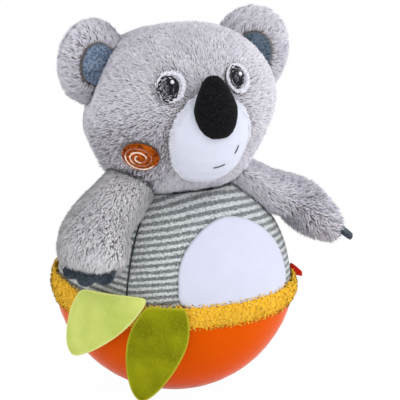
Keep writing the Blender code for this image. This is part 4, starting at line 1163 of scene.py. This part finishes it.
class ArmForm:
    """An arm's outer form: a flat tube from under the head, over the body's shoulder, to its paw."""

    def __init__(self, side):
        joint = JOINTS[f"arm_{side}_lift"]
        verts, _ = node_arrays(f"arm_{side}")
        self.pivot = np.array(joint["pos_m"])
        self.across = unit(np.array(joint["axis"]))
        middle = verts.mean(0) - self.pivot
        self.along = unit(middle - (middle @ self.across) * self.across)
        upper = np.cross(self.along, self.across)
        local = (verts - self.pivot) @ np.stack((self.along, self.across, upper), 1)
        self.length = local[:, 0].max()
        reach, wide, thick = self.measure(local)
        self.root = thick[0]
        self.torso_radius, height = torso_form()
        self.torso = np.array((0.0, 0.0, height))
        swing = np.linalg.norm(self.pivot - self.torso)

        def up_to(start, end):
            return np.linspace(start, end, SHOULDER_RINGS + 1)[:-1]

        turns = up_to(NECK_ANGLE, math.asin((self.pivot[2] - height) / swing))[:, None]
        level = unit(self.pivot * (1, 1, 0))
        shoulder = self.torso + swing * (np.cos(turns) * level + np.sin(turns) * (0, 0, 1.0))
        self.wide = np.concatenate((up_to(NECK_WIDTH, 1.0) * wide[0], wide))
        self.thick = np.concatenate((up_to(NECK_THICKNESS, 1.0) * thick[0], thick))
        self.centres = np.concatenate((shoulder, self.pivot + reach[:, None] * self.along))
        self.sag(side)
        self.run = unit(np.gradient(self.centres, axis=0))

    def sag(self, side):
        """Smooths the middle line, lets it hang, and reads the stuffing round it."""
        centres = self.centres
        for _ in range(ARM_EASE):
            centres[1:-1] = (centres[:-2] + 2 * centres[1:-1] + centres[2:]) / 4
        shares = self.share(centres)
        fade = np.interp(shares, (ARM_SHIFT_FROM, 1.0), (1.0, ARM_SHIFT_END))[:, None]
        self.outer, self.inner, self.above, self.below, sink = (
            np.interp(shares, ARM_STATIONS, ARM_FORMS[side][way])[:, None, None]
            for way in ("outer", "inner", "above", "below", "sink"))
        centres += self.across * (ARM_SHIFT[side] * fade)
        centres += np.cross(unit(np.gradient(centres, axis=0)), self.across) * sink[:, 0]

    def measure(self, local):
        """Half width and half thickness of the CAD arm, along its length."""
        reach = np.round(local[:, 0], 5)    # points of one ring share a station
        stations = np.unique(reach[reach >= 0])
        wide = [np.abs(local[reach == x, 1]).max() for x in stations]
        thick = [np.abs(local[reach == x, 2]).max() for x in stations]
        even = self.length * np.sin(np.linspace(0, math.pi / 2, ARM_RINGS))
        return even, np.interp(even, stations, wide), np.interp(even, stations, thick)

    def surface(self, inset=0.0):
        """The tube's points, inset from its outer form, kept off the head and the body."""
        turns = np.linspace(0, 2 * math.pi, ARM_SIDES, endpoint=False)[:, None]
        under = np.cross(self.run, self.across)[:, None]
        wide = np.maximum(self.wide - inset, 0.0)[:, None, None] + np.where(
            np.cos(turns)[None] > 0, self.outer, self.inner)
        thick = np.maximum(self.thick - inset, 0.0)[:, None, None]
        sideways = np.cos(turns) * wide * self.across
        deep = thick + np.where(np.sin(turns)[None] < 0, self.above, self.below)
        points = (self.centres[:, None] + sideways + np.sin(turns) * deep * under).reshape(-1, 3)
        points[-ARM_SIDES:] -= self.along * inset
        points = self.hug(points, np.tile(np.sin(turns).ravel(), len(self.centres)), inset)
        local = HEAD.to_local(points)
        clear = HEAD.reach(local, SEW_GAP + inset)
        inside = np.linalg.norm(local, axis=1) < np.linalg.norm(clear, axis=1)
        points[inside] = HEAD.to_world(clear[inside])
        from_torso = points - self.torso
        away = np.maximum(np.linalg.norm(from_torso, axis=1), self.torso_radius + SEW_GAP + inset)
        return self.torso + unit(from_torso) * away[:, None]

    def edge(self, points):
        """How near points are to the arm's two side seams: 0 in the middle, 1 at a seam."""
        share, shares = self.share(points), self.share(self.centres)
        middle = np.interp(share, shares, self.centres @ self.across)
        wide = np.interp(share, shares, self.wide)
        return np.abs(points @ self.across - middle) / np.maximum(wide, 0.001)

    def hug(self, points, below, inset):
        """Draws the underside of the shoulder down onto the round body."""
        from_torso = points - self.torso
        away = np.linalg.norm(from_torso, axis=1)
        drawn = smoothstep(*HUG_SIDES, below) * (1 - smoothstep(0.0, HUG_END, self.share(points)))
        lower = np.minimum(away, self.torso_radius + SEW_GAP + inset)
        return self.torso + unit(from_torso) * (away + (lower - away) * drawn)[:, None]

    def mesh(self, name, inset):
        """A closed skin."""
        rows = len(self.centres)
        faces = grid_faces(rows, ARM_SIDES, wrap=True)
        faces.append(tuple(reversed(range(ARM_SIDES))))
        faces.append(tuple(range((rows - 1) * ARM_SIDES, rows * ARM_SIDES)))
        return mesh_from(name, self.surface(inset), faces)

    def comb(self, points):
        """From the neck to the paw, along the nearest stretch of the tube."""
        nearest = np.linalg.norm(points[:, None] - self.centres[None], axis=2).argmin(1)
        return self.run[nearest]

    def share(self, points):
        """How far along the arm points are, 0 at its pivot and 1 at the paw's end."""
        return (points - self.pivot) @ self.along / self.length

    def bend(self, piece, body):
        """Bakes a piece's placement into its mesh."""
        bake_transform(piece)


def make_arm(side, head, seed):
    """One plush tube from the neck to the paw, with the felt claws sewn into its end."""
    body = f"{side}_arm"
    form = ArmForm(side)
    mesh = form.mesh(f"arm_{side}_skin", BACKING)
    skin = add_piece(f"arm_{side}_skin", mesh, None, GREY_BACKING)
    form.bend(skin, body)
    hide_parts(f"arm_{side}", f"shoulder_{side}")
    outer = form.mesh(f"arm_{side}_outer", 0.0)

    def shorten(points):
        return 1 + PAW_FRINGE[side] * smoothstep(*PAW_FRINGE_FROM, form.share(points))

    def ruffle(points):
        return ARM_RUFFLE[side] * smoothstep(*ARM_RUFFLE_FROM, form.share(points))

    # one arm painted lighter and the other darker, lighter still at its side seams: painted light and shade
    def painted_light(points):
        plain, edge = ARM_PAINTED_LIGHT[side]
        return plain + edge * smoothstep(*ARM_PAINTED_LIGHT_SIDES, form.edge(points))

    blockers = neighbours_tree([f"claws_{side}", "torso_cover"], [head])
    grown = grow_fur(f"arm_{side}_fur", surface_of(*mesh_arrays(outer)), form.comb, None, "grey_plush",
                     GREY_FUR, blockers, seed, shorten=shorten, length=ARM_PILE[side], lift=ARM_LIFT[side],
                     ruffle=ruffle, painted_light=painted_light)
    for piece in grown:
        form.bend(piece, body)
    make_claws(side, body, form)


def make_claws(side, body, form):
    """Three felt lobes, their strip drawn on into the paw."""
    mesh = remeshed(f"claws_{side}_felt", f"claws_{side}", voxel=0.0005, rounds=6)
    points = points_of(mesh)
    reach = (points - form.pivot) @ form.along
    root = 1 - smoothstep(reach.min(), reach.min() + CLAW_ROOT, reach)
    set_points(mesh, points - form.along * (CLAW_ROOT * root)[:, None])
    add_soft(f"claws_{side}_felt", mesh, body, CLAW_FELT, f"claws_{side}")


# Embroidery
THREAD_SIDES = 6
THREAD_END = 0.45              # a thread's width where it goes into the cloth, as a share


def thread_tubes(name, paths, normals, half_width, tone, flat=0.7):
    """Stitches: each path is a row of points, its thread thinner at both ends."""
    paths, normals = np.asarray(paths), np.asarray(normals)
    steps, sides = paths.shape[1], THREAD_SIDES
    run = unit(np.gradient(paths, axis=1))
    side = unit(np.cross(run, normals))
    width = half_width * np.ones(steps)
    width[[0, -1]] *= THREAD_END
    rings = []
    for k in range(sides):
        angle = 2 * math.pi * k / sides
        out = math.cos(angle) * side + flat * math.sin(angle) * normals
        rings.append(paths + out * width[None, :, None])
    verts = np.stack(rings, 2).reshape(-1, 3)
    tube = grid_faces(steps, sides, wrap=True)
    tube += [tuple(reversed(range(sides))), tuple(range((steps - 1) * sides, steps * sides))]
    faces = [[start + k for k in face] for start in range(0, len(verts), steps * sides) for face in tube]
    mesh = mesh_from(name, verts, faces)
    set_value(mesh, "tone", np.repeat(np.asarray(tone, float), steps * sides))
    return mesh


def chart_stitches(name, chart, starts, ends, half_width, rng, low, high, steps=5, darkness=1.0):
    """Straight stitches between chart points, bowed up from low to high above the plush."""
    share = np.linspace(0, 1, steps)
    flat = starts[:, None] * (1 - share)[None, :, None] + ends[:, None] * share[None, :, None]
    off = low + (high - low) * np.sin(math.pi * share)[None, :] * np.ones(len(starts))[:, None]
    paths, normals = chart.path(flat[..., 0], flat[..., 1], off)
    return thread_tubes(name, paths, normals, half_width, rng.random(len(starts)) ** darkness)


def joined(name, meshes):
    """Several meshes as one."""
    build = bmesh.new()
    for mesh in meshes:
        build.from_mesh(mesh)
    return built(name, build)


# Eyes, in metres on a chart about each CAD eye: a white oval with a dark one on it
EYES = {
    "right": {"middle": (0.0, -0.0014), "tilt": 0.0, "half": (0.0075, 0.0086),
              "pupil": (-0.0016, -0.0014), "pupil_half": (0.0058, 0.0074), "glint": (0.0004, 0.0020)},
    "left": {"middle": (-0.0016, -0.0008), "tilt": math.radians(24), "half": (0.0069, 0.0082),
             "pupil": (-0.0014, 0.0004), "pupil_half": (0.0044, 0.0067), "glint": (0.0006, 0.0020)},
}
WHITE_ROUNDS = (1.0, 0.95, 0.90, 0.85, 0.80)
GREY_ROUNDS = (0.75, 0.68, 0.61)
PUPIL_ROUNDS = (0.94, 0.80, 0.66, 0.52, 0.38, 0.24, 0.10)
WHITE_STITCHES, GREY_STITCHES = 34, 24     # in each round
PUPIL_STITCHES, PUPIL_FEWEST = 20, 5       # in a round as large as the pupil, and in its smallest
PUPIL_EDGE = 0.7               # the rounds inside this are mixed grey and black,
PUPIL_DARKNESS = (5.0, 12.0)   # and those outside it nearly black
GLINT_RADIUS = 0.0010
GLINT_ROWS = np.linspace(-0.75, 0.75, 5)   # its stitches, as shares of its radius above its middle
GLINT_LIFT, GLINT_BOW = 0.0006, 0.0005     # its ends above the other stitches, its middle above them
EYE_SINK = 0.0003              # the white and grey rounds lie this far below other stitches,
EYE_PAD_SINK = 0.0004          # and their pad this far
PUPIL_RAISE = 0.0001           # the pupil's rounds lie this far above other stitches
PUPIL_PAD = 0.0002             # underside of its pad above the plush
THREAD = 0.00036               # half the width of embroidery thread
STITCH_LIFT = 0.0012           # stitches above the plush
STITCH_BOW = 0.0003            # a stitch's middle above its ends
STITCH_WAVER = 0.05            # how far stitches leave their round, as a share of its radius
STITCH_UNEVEN = 0.12           # how far they leave their even places, as a share of a stitch
STITCH_OVERLAP = 1.15          # their length, as a share of the space for each
PAD_SIDES, PAD_RINGS = 40, 5   # of the pads under the stitches
PAD_CROWN = 0.5                # a pad's edge is thinner than its middle by this share


def chart_pad(name, chart, half, shift, low, high, tone):
    """A thin closed oval pad, crowned in its middle."""
    sides = PAD_SIDES
    shares = np.linspace(0, 1, PAD_RINGS + 1)[1:]
    turns = np.linspace(0, 2 * math.pi, sides, endpoint=False)
    ring = np.stack((np.cos(turns), np.sin(turns)), 1) * half
    rows = [(share, high - (high - low) * PAD_CROWN * share ** 2) for share in shares]
    rows += [(share, low) for share in shares[::-1]]
    points = [chart.place(*(ring * share + shift).T, off) for share, off in rows]
    poles = [chart.place(*shift, high), chart.place(*shift, low)]
    verts = np.concatenate(points + [np.array(poles)])
    last = len(rows) * sides
    faces = [tuple(reversed(face)) for face in grid_faces(len(rows), sides, wrap=True)]
    faces += [(k, (k + 1) % sides, last) for k in range(sides)]
    faces += [(last - sides + (k + 1) % sides, last - sides + k, last + 1) for k in range(sides)]
    mesh = mesh_from(name, verts, faces)
    set_value(mesh, "tone", np.full(len(verts), tone))
    return mesh


def make_eye(side, seed):
    """White rounds on a pad, a grey ground, a dark pupil of thread rounds and a glint. Returns the pad."""
    rng = np.random.default_rng(seed)
    eye = EYES[side]
    chart = HEAD.chart(f"eye_white_{side}").moved(eye["middle"], eye["tilt"])
    half, lift = np.array(eye["half"]), STITCH_LIFT - EYE_SINK
    pad = chart_pad("pad", chart, half, np.zeros(2), 0.0, STITCH_LIFT - EYE_PAD_SINK, tone=0.6)
    white = [pad] + [ring_stitches("white", chart, half * share, rng, WHITE_STITCHES, lift,
                                   waver=STITCH_WAVER) for share in WHITE_ROUNDS]
    ring = add_piece(f"eye_{side}_white", joined(f"eye_{side}_white", white), "head",
                     WHITE_THREAD)
    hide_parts(f"eye_white_{side}")
    grey = [ring_stitches("grey", chart, half * share, rng, GREY_STITCHES, lift)
            for share in GREY_ROUNDS]
    add_piece(f"eye_{side}_ground", joined(f"eye_{side}_ground", grey), "head", GREY_THREAD)
    make_pupil(side, chart, np.array(eye["pupil_half"]), np.array(eye["pupil"]), rng)
    wide = np.sqrt(1 - GLINT_ROWS ** 2)
    starts, ends = (np.array(eye["glint"]) + GLINT_RADIUS * np.stack((turn * wide, GLINT_ROWS), 1)
                    for turn in (-1, 1))
    low = STITCH_LIFT + GLINT_LIFT
    glint = chart_stitches("glint", chart, starts, ends, THREAD, rng, low, low + GLINT_BOW)
    add_piece(f"eye_{side}_glint", glint, "head", WHITE_THREAD)
    return pad


def make_pupil(side, chart, half, shift, rng):
    """Black rounds outside, mixed grey and black ones inside."""
    dark = [chart_pad("pad", chart, half, shift, PUPIL_PAD, STITCH_LIFT, tone=0.0)]
    for share in PUPIL_ROUNDS:
        count = max(PUPIL_FEWEST, int(PUPIL_STITCHES * share))
        darkness = PUPIL_DARKNESS[share >= PUPIL_EDGE]
        dark.append(ring_stitches("round", chart, half * share, rng, count, STITCH_LIFT + PUPIL_RAISE,
                                  shift, darkness, STITCH_WAVER))
    pupil = add_piece(f"eye_{side}_pupil", joined(f"eye_{side}_pupil", dark), "head",
                      DARK_THREAD)
    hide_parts(f"pupil_{side}")


def ring_stitches(name, chart, half, rng, count, lift, shift=(0.0, 0.0), darkness=1.0, waver=0.02):
    """Short stitches one after another round an oval."""
    turns = 2 * math.pi * (np.arange(count) + rng.normal(size=count) * STITCH_UNEVEN) / count
    ends = turns + 2 * math.pi / count * STITCH_OVERLAP

    def oval(angles):
        reach = half * (1 + waver * rng.normal(size=(count, 1)))
        return np.stack((np.cos(angles), np.sin(angles)), 1) * reach + shift

    return chart_stitches(name, chart, oval(turns), oval(ends), THREAD, rng, lift, lift + STITCH_BOW,
                          steps=4, darkness=darkness)


# Swirl: rust rounds, and a pale spiral that shows on three stretches of it
SWIRL_HALF = np.array((0.0106, 0.0089))
SWIRL_TURNS = 11
SWIRL_RADII = (0.98, 0.05)
SWIRL_WIDTH = 0.00039
SWIRL_WAVER = 0.004                # how far the thread leaves its line, as a share of the radius
SWIRL_DARK_EDGE = (0.72, 0.95)     # its outer rounds are darker
SWIRL_TONES = (0.12, 0.25, 0.5)    # at its edge, and what is added inside: everywhere, and by chance
PALE_STRETCHES = np.radians(((115, 280), (365, 590), (880, 1044)))
PALE_RADII = (0.18, 0.86)
PALE_WIDTH = 0.00052
PALE_WAVER = 0.006
PALE_TONES = (0.75, 0.25, 0.15)    # where it shows: the usual tone and its spread; by chance everywhere
PALE_LIFT = 0.0004                 # above the rust rounds
PALE_FADE = (-0.2, 0.3)            # angles over which a stretch starts and ends
SPIRAL_STEPS = 7                   # points of a wound thread in each radian


def chart_spiral(name, chart, half, radii, angles, lift, half_width, waver, rng):
    """One long thread wound from one radius to another. Returns its mesh, angles and radii."""
    count = int(abs(angles[1] - angles[0]) * SPIRAL_STEPS)
    angle = np.linspace(*angles, count)
    radius = np.linspace(*radii, count) + waver * rng.normal(size=count)
    u, v = half[0] * radius * np.cos(angle), half[1] * radius * np.sin(angle)
    path, normals = chart.path(u, v, lift)
    return thread_tubes(name, path[None], normals[None], half_width, [0.5]), angle, radius


def spiral_tone(mesh, tone):
    """One tone for each ring of a thread."""
    set_value(mesh, "tone", np.repeat(np.clip(tone, 0, 1), len(mesh.vertices) // len(tone)))


def make_swirl():
    """The cheek's round patch of thread. Returns its pad."""
    rng = np.random.default_rng(seed=77)
    chart = HEAD.chart("cheek_swirl")
    pad = chart_pad("pad", chart, SWIRL_HALF, np.zeros(2), 0.0, STITCH_LIFT, tone=0.15)
    coil, _, radius = chart_spiral("coil", chart, SWIRL_HALF, SWIRL_RADII, (0, 2 * math.pi * SWIRL_TURNS),
                                   STITCH_LIFT, SWIRL_WIDTH, SWIRL_WAVER, rng)
    inner = 1 - smoothstep(*SWIRL_DARK_EDGE, radius)
    edge, more, chance = SWIRL_TONES
    spiral_tone(coil, edge + inner * (more + chance * rng.random(len(radius))))
    swirl = add_piece("swirl_rust", joined("swirl_rust", [pad, coil]), "head", RUST_THREAD)
    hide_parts("cheek_swirl")
    reach = (PALE_STRETCHES[0, 0], PALE_STRETCHES[-1, -1])
    pale, angle, _ = chart_spiral("swirl_pale", chart, SWIRL_HALF, PALE_RADII, reach,
                                  STITCH_LIFT + PALE_LIFT, PALE_WIDTH, PALE_WAVER, rng)
    shown = np.zeros(len(angle))
    for first, last in PALE_STRETCHES:
        shown = np.maximum(shown, smoothstep(*PALE_FADE, np.minimum(angle - first, last - angle)))
    usual, spread, chance = PALE_TONES
    tone = shown * (usual + spread * rng.normal(size=len(angle))) + chance * rng.random(len(angle))
    spiral_tone(pale, tone)
    add_piece("swirl_pale", pale, "head", PEACH_THREAD)
    return pad


# Two mouth stitches, at pixels of the photograph, sewn on the muzzle
MOUTH_STITCHES = (((213.0, 168.0), (219.5, 167.0), (225.0, 164.0)),
                  ((234.5, 153.5), (237.0, 149.5), (238.5, 145.0)))
MOUTH_WIDTH = 0.00045
MOUTH_LIFT = 0.0002
MOUTH_STEPS = 9


def on_muzzle(pixel, tree):
    """The muzzle's point and normal under a pixel."""
    right, up, back, target = view_axes()
    scale = VIEW_WIDTH / PICTURE
    eye = target + back * VIEW_DISTANCE
    through = target + right * ((pixel[0] - PICTURE / 2) * scale) - up * ((pixel[1] - PICTURE / 2) * scale)
    hit, normal, _, _ = tree.ray_cast(eye, (through - eye).normalized())
    return np.array(hit), np.array(normal)


def make_mouth(muzzle):
    """Two short stitches at one side of the muzzle."""
    tree = neighbours_tree([], [muzzle])
    paths, normals = [], []
    for first, middle, last in MOUTH_STITCHES:
        found = []
        for share in np.linspace(0, 1, MOUTH_STEPS):
            near = np.array(first) * (1 - share) ** 2 + 2 * np.array(middle) * share * (1 - share)
            found.append(on_muzzle(near + np.array(last) * share ** 2, tree))
        paths.append([point + normal * MOUTH_LIFT for point, normal in found])
        normals.append([normal for _, normal in found])
    stitches = thread_tubes("mouth_stitches", paths, normals, MOUTH_WIDTH, tone=(0.3, 0.5))
    add_piece("mouth_stitches", stitches, "head", MOUTH_THREAD)


# Leaves: larger than their CAD solids, turned and raised about their joints
LEAF_STRETCH = {"leaf_light": 1.14, "leaf_dark": 1.03}
LEAF_TURN = {"leaf_light": 0.0, "leaf_dark": math.radians(-1.5)}
LEAF_RISE = {"leaf_light": 0.0022, "leaf_dark": 0.0}
LEAF_DENTS = (0.00045, 0.016)  # depth and size of its soft dents
LEAF_EDGE = 0.0022             # width of the pale edge
PIPING_WIDTH = 0.00055         # half the width of the cord in the edge
PIPING_EASE = 3                # rounds of smoothing of its line


def leaf_rim(node):
    """The leaf's edge, half way between its two faces, as a ring of points."""
    build = node_mesh(node)

    def is_side(face):
        out = Vector((face.calc_center_median().x, face.calc_center_median().y, 0)).normalized()
        return abs(face.normal.dot(out)) < 0.5

    links = {}
    for edge in build.edges:
        if len(edge.link_faces) == 2 and is_side(edge.link_faces[0]) != is_side(edge.link_faces[1]):
            a, b = edge.verts
            links.setdefault(a, []).append(b)
            links.setdefault(b, []).append(a)
    loops, seen = [], set()
    for first in links:
        if first in seen:
            continue
        loop, here = [], first
        while here is not None:
            seen.add(here)
            loop.append(np.array(here.co))
            here = next((v for v in links[here] if v not in seen), None)
        loops.append(np.array(loop))
    build.free()
    loops.sort(key=len, reverse=True)
    upper, lower = loops[:2]
    nearest = np.linalg.norm(upper[:, None] - lower[None], axis=2).argmin(1)
    return (upper + lower[nearest]) / 2


def round_path(points, steps):
    """A closed curve through points, smooth but at sharp tips."""
    ahead = np.roll(points, -1, 0) - points
    bend = (unit(ahead) * unit(np.roll(ahead, 1, 0))).sum(1)
    slope = (ahead + np.roll(ahead, 1, 0)) / 2 * np.clip(bend, 0, 1)[:, None]
    found = []
    for t in np.linspace(0, 1, steps, endpoint=False):
        found.append(points + slope * (t - 2 * t ** 2 + t ** 3) + ahead * (3 * t ** 2 - 2 * t ** 3)
                     + np.roll(slope, -1, 0) * (t ** 3 - t ** 2))
    return np.stack(found, 1).reshape(-1, 3)


def make_leaf(node, body, finish, seed):
    """A padded leaf: crowned faces, soft dents and a corded edge."""
    mesh = quilted(f"{node}_cloth", node, levels=3)
    rim = leaf_rim(node)
    joint = np.array(JOINTS[f"{node}_lift"]["pos_m"])
    normal = np.linalg.svd(rim - rim.mean(0))[2][2]
    normal *= math.copysign(1.0, normal @ rim.mean(0))
    up = unit(np.cross(normal, np.cross((0, 0, 1.0), normal)))
    turn = np.array(Matrix.Rotation(LEAF_TURN[node], 3, normal)) * LEAF_STRETCH[node]

    def hung(points):
        return joint + (points - joint) @ turn.T + up * LEAF_RISE[node]

    set_points(mesh, hung(points_of(mesh)))
    rim = hung(rim)
    edge = near_rim(mesh, round_path(rim, steps=8), LEAF_EDGE)
    depth, size = LEAF_DENTS
    dents = depth * lumps(points_of(mesh), size, seed) * (1 - edge)
    set_points(mesh, points_of(mesh) + normals_of(mesh) * dents[:, None])
    set_value(mesh, "edge", edge ** 2)
    add_soft(f"{node}_cloth", mesh, body, finish, node)
    tree = neighbours_tree([], [mesh])
    path = np.array([tree.find_nearest(point)[0] for point in round_path(rim, steps=6).tolist()])
    for _ in range(PIPING_EASE):
        path = (np.roll(path, 1, 0) + 2 * path + np.roll(path, -1, 0)) / 4
    path = np.concatenate((path, path[:1]))
    out = unit(path * (1, 1, 0))
    piping = thread_tubes(f"{node}_piping", path[None], out[None], PIPING_WIDTH, [1.0], flat=1.0)
    set_value(piping, "edge", np.ones(len(piping.vertices)))
    add_piece(f"{node}_piping", piping, body, finish)


# Tag: lower than its CAD solid
TAG_DROP = 0.0034
TAG_DROOP = (0.0012, 1.6)      # how far its end hangs down, and how late the bend comes
TAG_TAPER = (0.62, 1.2)        # how much narrower its end is, and how late it narrows
TAG_FOLD = 0.00055             # half the gap between its two layers
TAG_ROUND = 0.8                # less than 1 makes the fold fuller
TAG_CLOTH = 0.00032            # thickness of a layer
TAG_STEPS, TAG_ROWS = 25, 9


def make_tag():
    """A short ribbon folded double in the seam, its fold hanging a little."""
    low, high = (np.array(corner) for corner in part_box("side_tag"))
    verts, _ = node_arrays("side_tag")
    middle = verts.mean(0)
    out = unit(middle * (1, 1, 0))
    across = np.cross(out, (0, 0, 1.0))
    reach = (verts @ out).max() - (verts @ out).min()
    root = (verts @ out).min() * out
    turns = np.linspace(0, 1, TAG_STEPS)
    ahead = reach * np.sin(math.pi * turns) ** TAG_ROUND
    apart = TAG_FOLD * np.cos(math.pi * turns)
    span = (high[2] - low[2]) * (1 - TAG_TAPER[0] * (ahead / reach) ** TAG_TAPER[1])
    lower = low[2] - TAG_DROP - TAG_DROOP[0] * (ahead / reach) ** TAG_DROOP[1]
    points = []
    for row in np.linspace(0, 1, TAG_ROWS):
        flat = root + ahead[:, None] * out + apart[:, None] * across
        flat[:, 2] = lower + span * row
        points.append(flat)
    mesh = mesh_from("tag_flat", np.concatenate(points), grid_faces(TAG_ROWS, TAG_STEPS))
    mesh = evaluated("side_tag_ribbon", mesh, [("SOLIDIFY", {"thickness": TAG_CLOTH, "offset": 0.0}),
                                               rounded(1)])
    tag = add_piece("side_tag_ribbon", mesh, "body", RED_RIBBON)
    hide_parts("side_tag")


# Inside
FILLING_LUMPS = (0.00035, 0.008)   # depth and size


def make_filling(node, body, seed):
    """Lumpy fibre in place of the plain filling, kept within its space."""
    mesh = remeshed(f"{node}_fibre", node, voxel=0.0015, rounds=4)
    deep, size = FILLING_LUMPS
    depth = deep * (1 + lumps(points_of(mesh), size, seed))
    points = points_of(mesh) - normals_of(mesh) * depth[:, None]
    if body == "head":
        points = HEAD.to_world(HEAD.tucked(HEAD.to_local(points)))
    set_points(mesh, points)
    add_soft(f"{node}_fibre", mesh, body, FIBRE, node)


SHARP_EDGE = math.radians(35)
KEPT_NODES = {
    "base_bowl": ORANGE_PLASTIC, "ballast_weight": CAST_IRON, "ballast_screw": SCREW_STEEL,
    "base_lid": INNER_PLASTIC, "chime_hub": INNER_PLASTIC, "pendulum_link": INNER_PLASTIC,
    "pendulum": INNER_PLASTIC,
}
KEPT_NODES |= {f"lid_screw_{i}": SCREW_STEEL for i in range(1, 5)}
KEPT_NODES |= {f"hub_screw_{i}": SCREW_STEEL for i in range(1, 3)}
KEPT_NODES |= {f"chime_rod_{i}": CHIME_STEEL for i in range(1, 7)}


def dress_kept_nodes():
    """CAD nodes whose shape is right, shaded smooth between their edges."""
    for name, finish in KEPT_NODES.items():
        node = frame["nodes"][name]
        for slot in node.material_slots:
            slot.material = finish
        node.data.polygons.foreach_set("use_smooth", np.full(len(node.data.polygons), True))
        weld = node.modifiers.new("weld", "WELD")
        weld.merge_threshold = WELD
        split = node.modifiers.new("edges", "EDGE_SPLIT")
        split.split_angle = SHARP_EDGE


# Stage: lamps stand to the right of the picture's middle, above it and towards the camera, in metres
LAMPS = {"key": {"place": (0.78, 0.58, 0.55), "size": 1.0, "power": 5.4},
         "fill": {"place": (-0.60, -0.10, 0.85), "size": 1.2, "power": 3.3},
         "rim": {"place": (0.75, 0.10, -0.35), "size": 0.7, "power": 2.0}}
WORLD_LIGHT = 0.69             # strength of the light from all round
FLOOR_HALF = 6.0
FLOOR_COLOUR = (0.95, 0.95, 0.95, 1.0)
FLOOR_ROUGHNESS = 0.9
FLOOR_GLOW = 0.985             # share of plain white in the floor that the camera sees


def make_stage():
    """Camera, floor and soft light."""
    right, up, back, target = view_axes()
    camera = bpy.data.cameras.new("camera")
    camera.sensor_width = SENSOR
    camera.lens = SENSOR * VIEW_DISTANCE / VIEW_WIDTH
    holder = add_object("camera", camera)
    holder.matrix_world = Matrix.Translation(target + back * VIEW_DISTANCE) @ Matrix(
        (right, up, back)).transposed().to_4x4()
    bpy.context.scene.camera = holder
    corners = [(x * FLOOR_HALF, y * FLOOR_HALF, 0) for x, y in ((-1, -1), (1, -1), (1, 1), (-1, 1))]
    floor = mesh_from("floor", corners, [(0, 1, 2, 3)])
    floor.materials.append(pale_floor())
    add_object("floor", floor)
    for name, lamp in LAMPS.items():
        place = target + sum((axis * far for axis, far in zip((right, up, back), lamp["place"])), Vector())
        add_lamp(name, place, target, lamp["size"], lamp["power"])
    pale_world()
    bpy.context.scene.view_settings.view_transform = "Standard"


def add_lamp(name, place, target, size, power):
    light = bpy.data.lights.new(name, "AREA")
    light.size = size
    light.energy = power
    holder = add_object(name, light)
    holder.location = place
    holder.rotation_mode = "QUATERNION"
    holder.rotation_quaternion = (target - place).to_track_quat("-Z", "Y")


def seen_ray(nodes, links):
    """1 for rays that show the background: from the camera, in gloss and through glass."""
    path = nodes.new("ShaderNodeLightPath")
    total = path.outputs["Is Camera Ray"]
    for name in ("Is Glossy Ray", "Is Transmission Ray"):
        either = nodes.new("ShaderNodeMath")
        either.operation = "MAXIMUM"
        links.new(total, either.inputs[0])
        links.new(path.outputs[name], either.inputs[1])
        total = either.outputs[0]
    return total


def pale_floor():
    """Matt and pale to the light, nearly white to the camera, so that it keeps the shadow."""
    made = bpy.data.materials.new("pale_floor")
    made.use_nodes = True
    nodes, links = made.node_tree.nodes, made.node_tree.links
    shader = nodes["Principled BSDF"]
    shader.inputs["Base Color"].default_value = FLOOR_COLOUR
    shader.inputs["Roughness"].default_value = FLOOR_ROUGHNESS
    glow = nodes.new("ShaderNodeEmission")
    mix = nodes.new("ShaderNodeMixShader")
    share = nodes.new("ShaderNodeMath")
    share.operation = "MULTIPLY"
    share.inputs[1].default_value = FLOOR_GLOW
    links.new(seen_ray(nodes, links), share.inputs[0])
    links.new(share.outputs[0], mix.inputs[0])
    links.new(shader.outputs[0], mix.inputs[1])
    links.new(glow.outputs[0], mix.inputs[2])
    links.new(mix.outputs[0], nodes["Material Output"].inputs["Surface"])
    return made


def pale_world():
    """White to the camera, and an even light on the toy."""
    world = bpy.data.worlds.new("studio")
    bpy.context.scene.world = world
    world.use_nodes = True
    nodes, links = world.node_tree.nodes, world.node_tree.links
    background = nodes["Background"]
    background.inputs["Color"].default_value = (1.0, 1.0, 1.0, 1.0)
    strength = nodes.new("ShaderNodeMapRange")
    strength.inputs["To Min"].default_value = WORLD_LIGHT
    links.new(seen_ray(nodes, links), strength.inputs["Value"])
    links.new(strength.outputs[0], background.inputs["Strength"])


def main():
    """Makes every piece. A seed starts a piece's random draws, the same on every run."""
    make_stage()
    make_torso()
    make_belly()
    make_band()
    muzzle, nose = make_muzzle(), make_nose()
    make_muzzle_fur(muzzle, nose)
    make_mouth(muzzle)
    sewn_on = [muzzle, nose, make_swirl(), make_eye("left", seed=81), make_eye("right", seed=91)]
    head = make_head()
    make_head_fur(sewn_on)
    for number, side in enumerate(("left", "right")):
        make_ear(side, head, seed=41 + 10 * number)
        make_arm(side, head, seed=61 + 10 * number)
    make_leaf("leaf_light", "light_leaf", LIGHT_VELOUR, seed=91)
    make_leaf("leaf_dark", "dark_leaf", OLIVE_VELOUR, seed=92)
    make_tag()
    make_filling("torso_filling", "body", seed=95)
    make_filling("head_filling", "head", seed=96)
    dress_kept_nodes()


main()
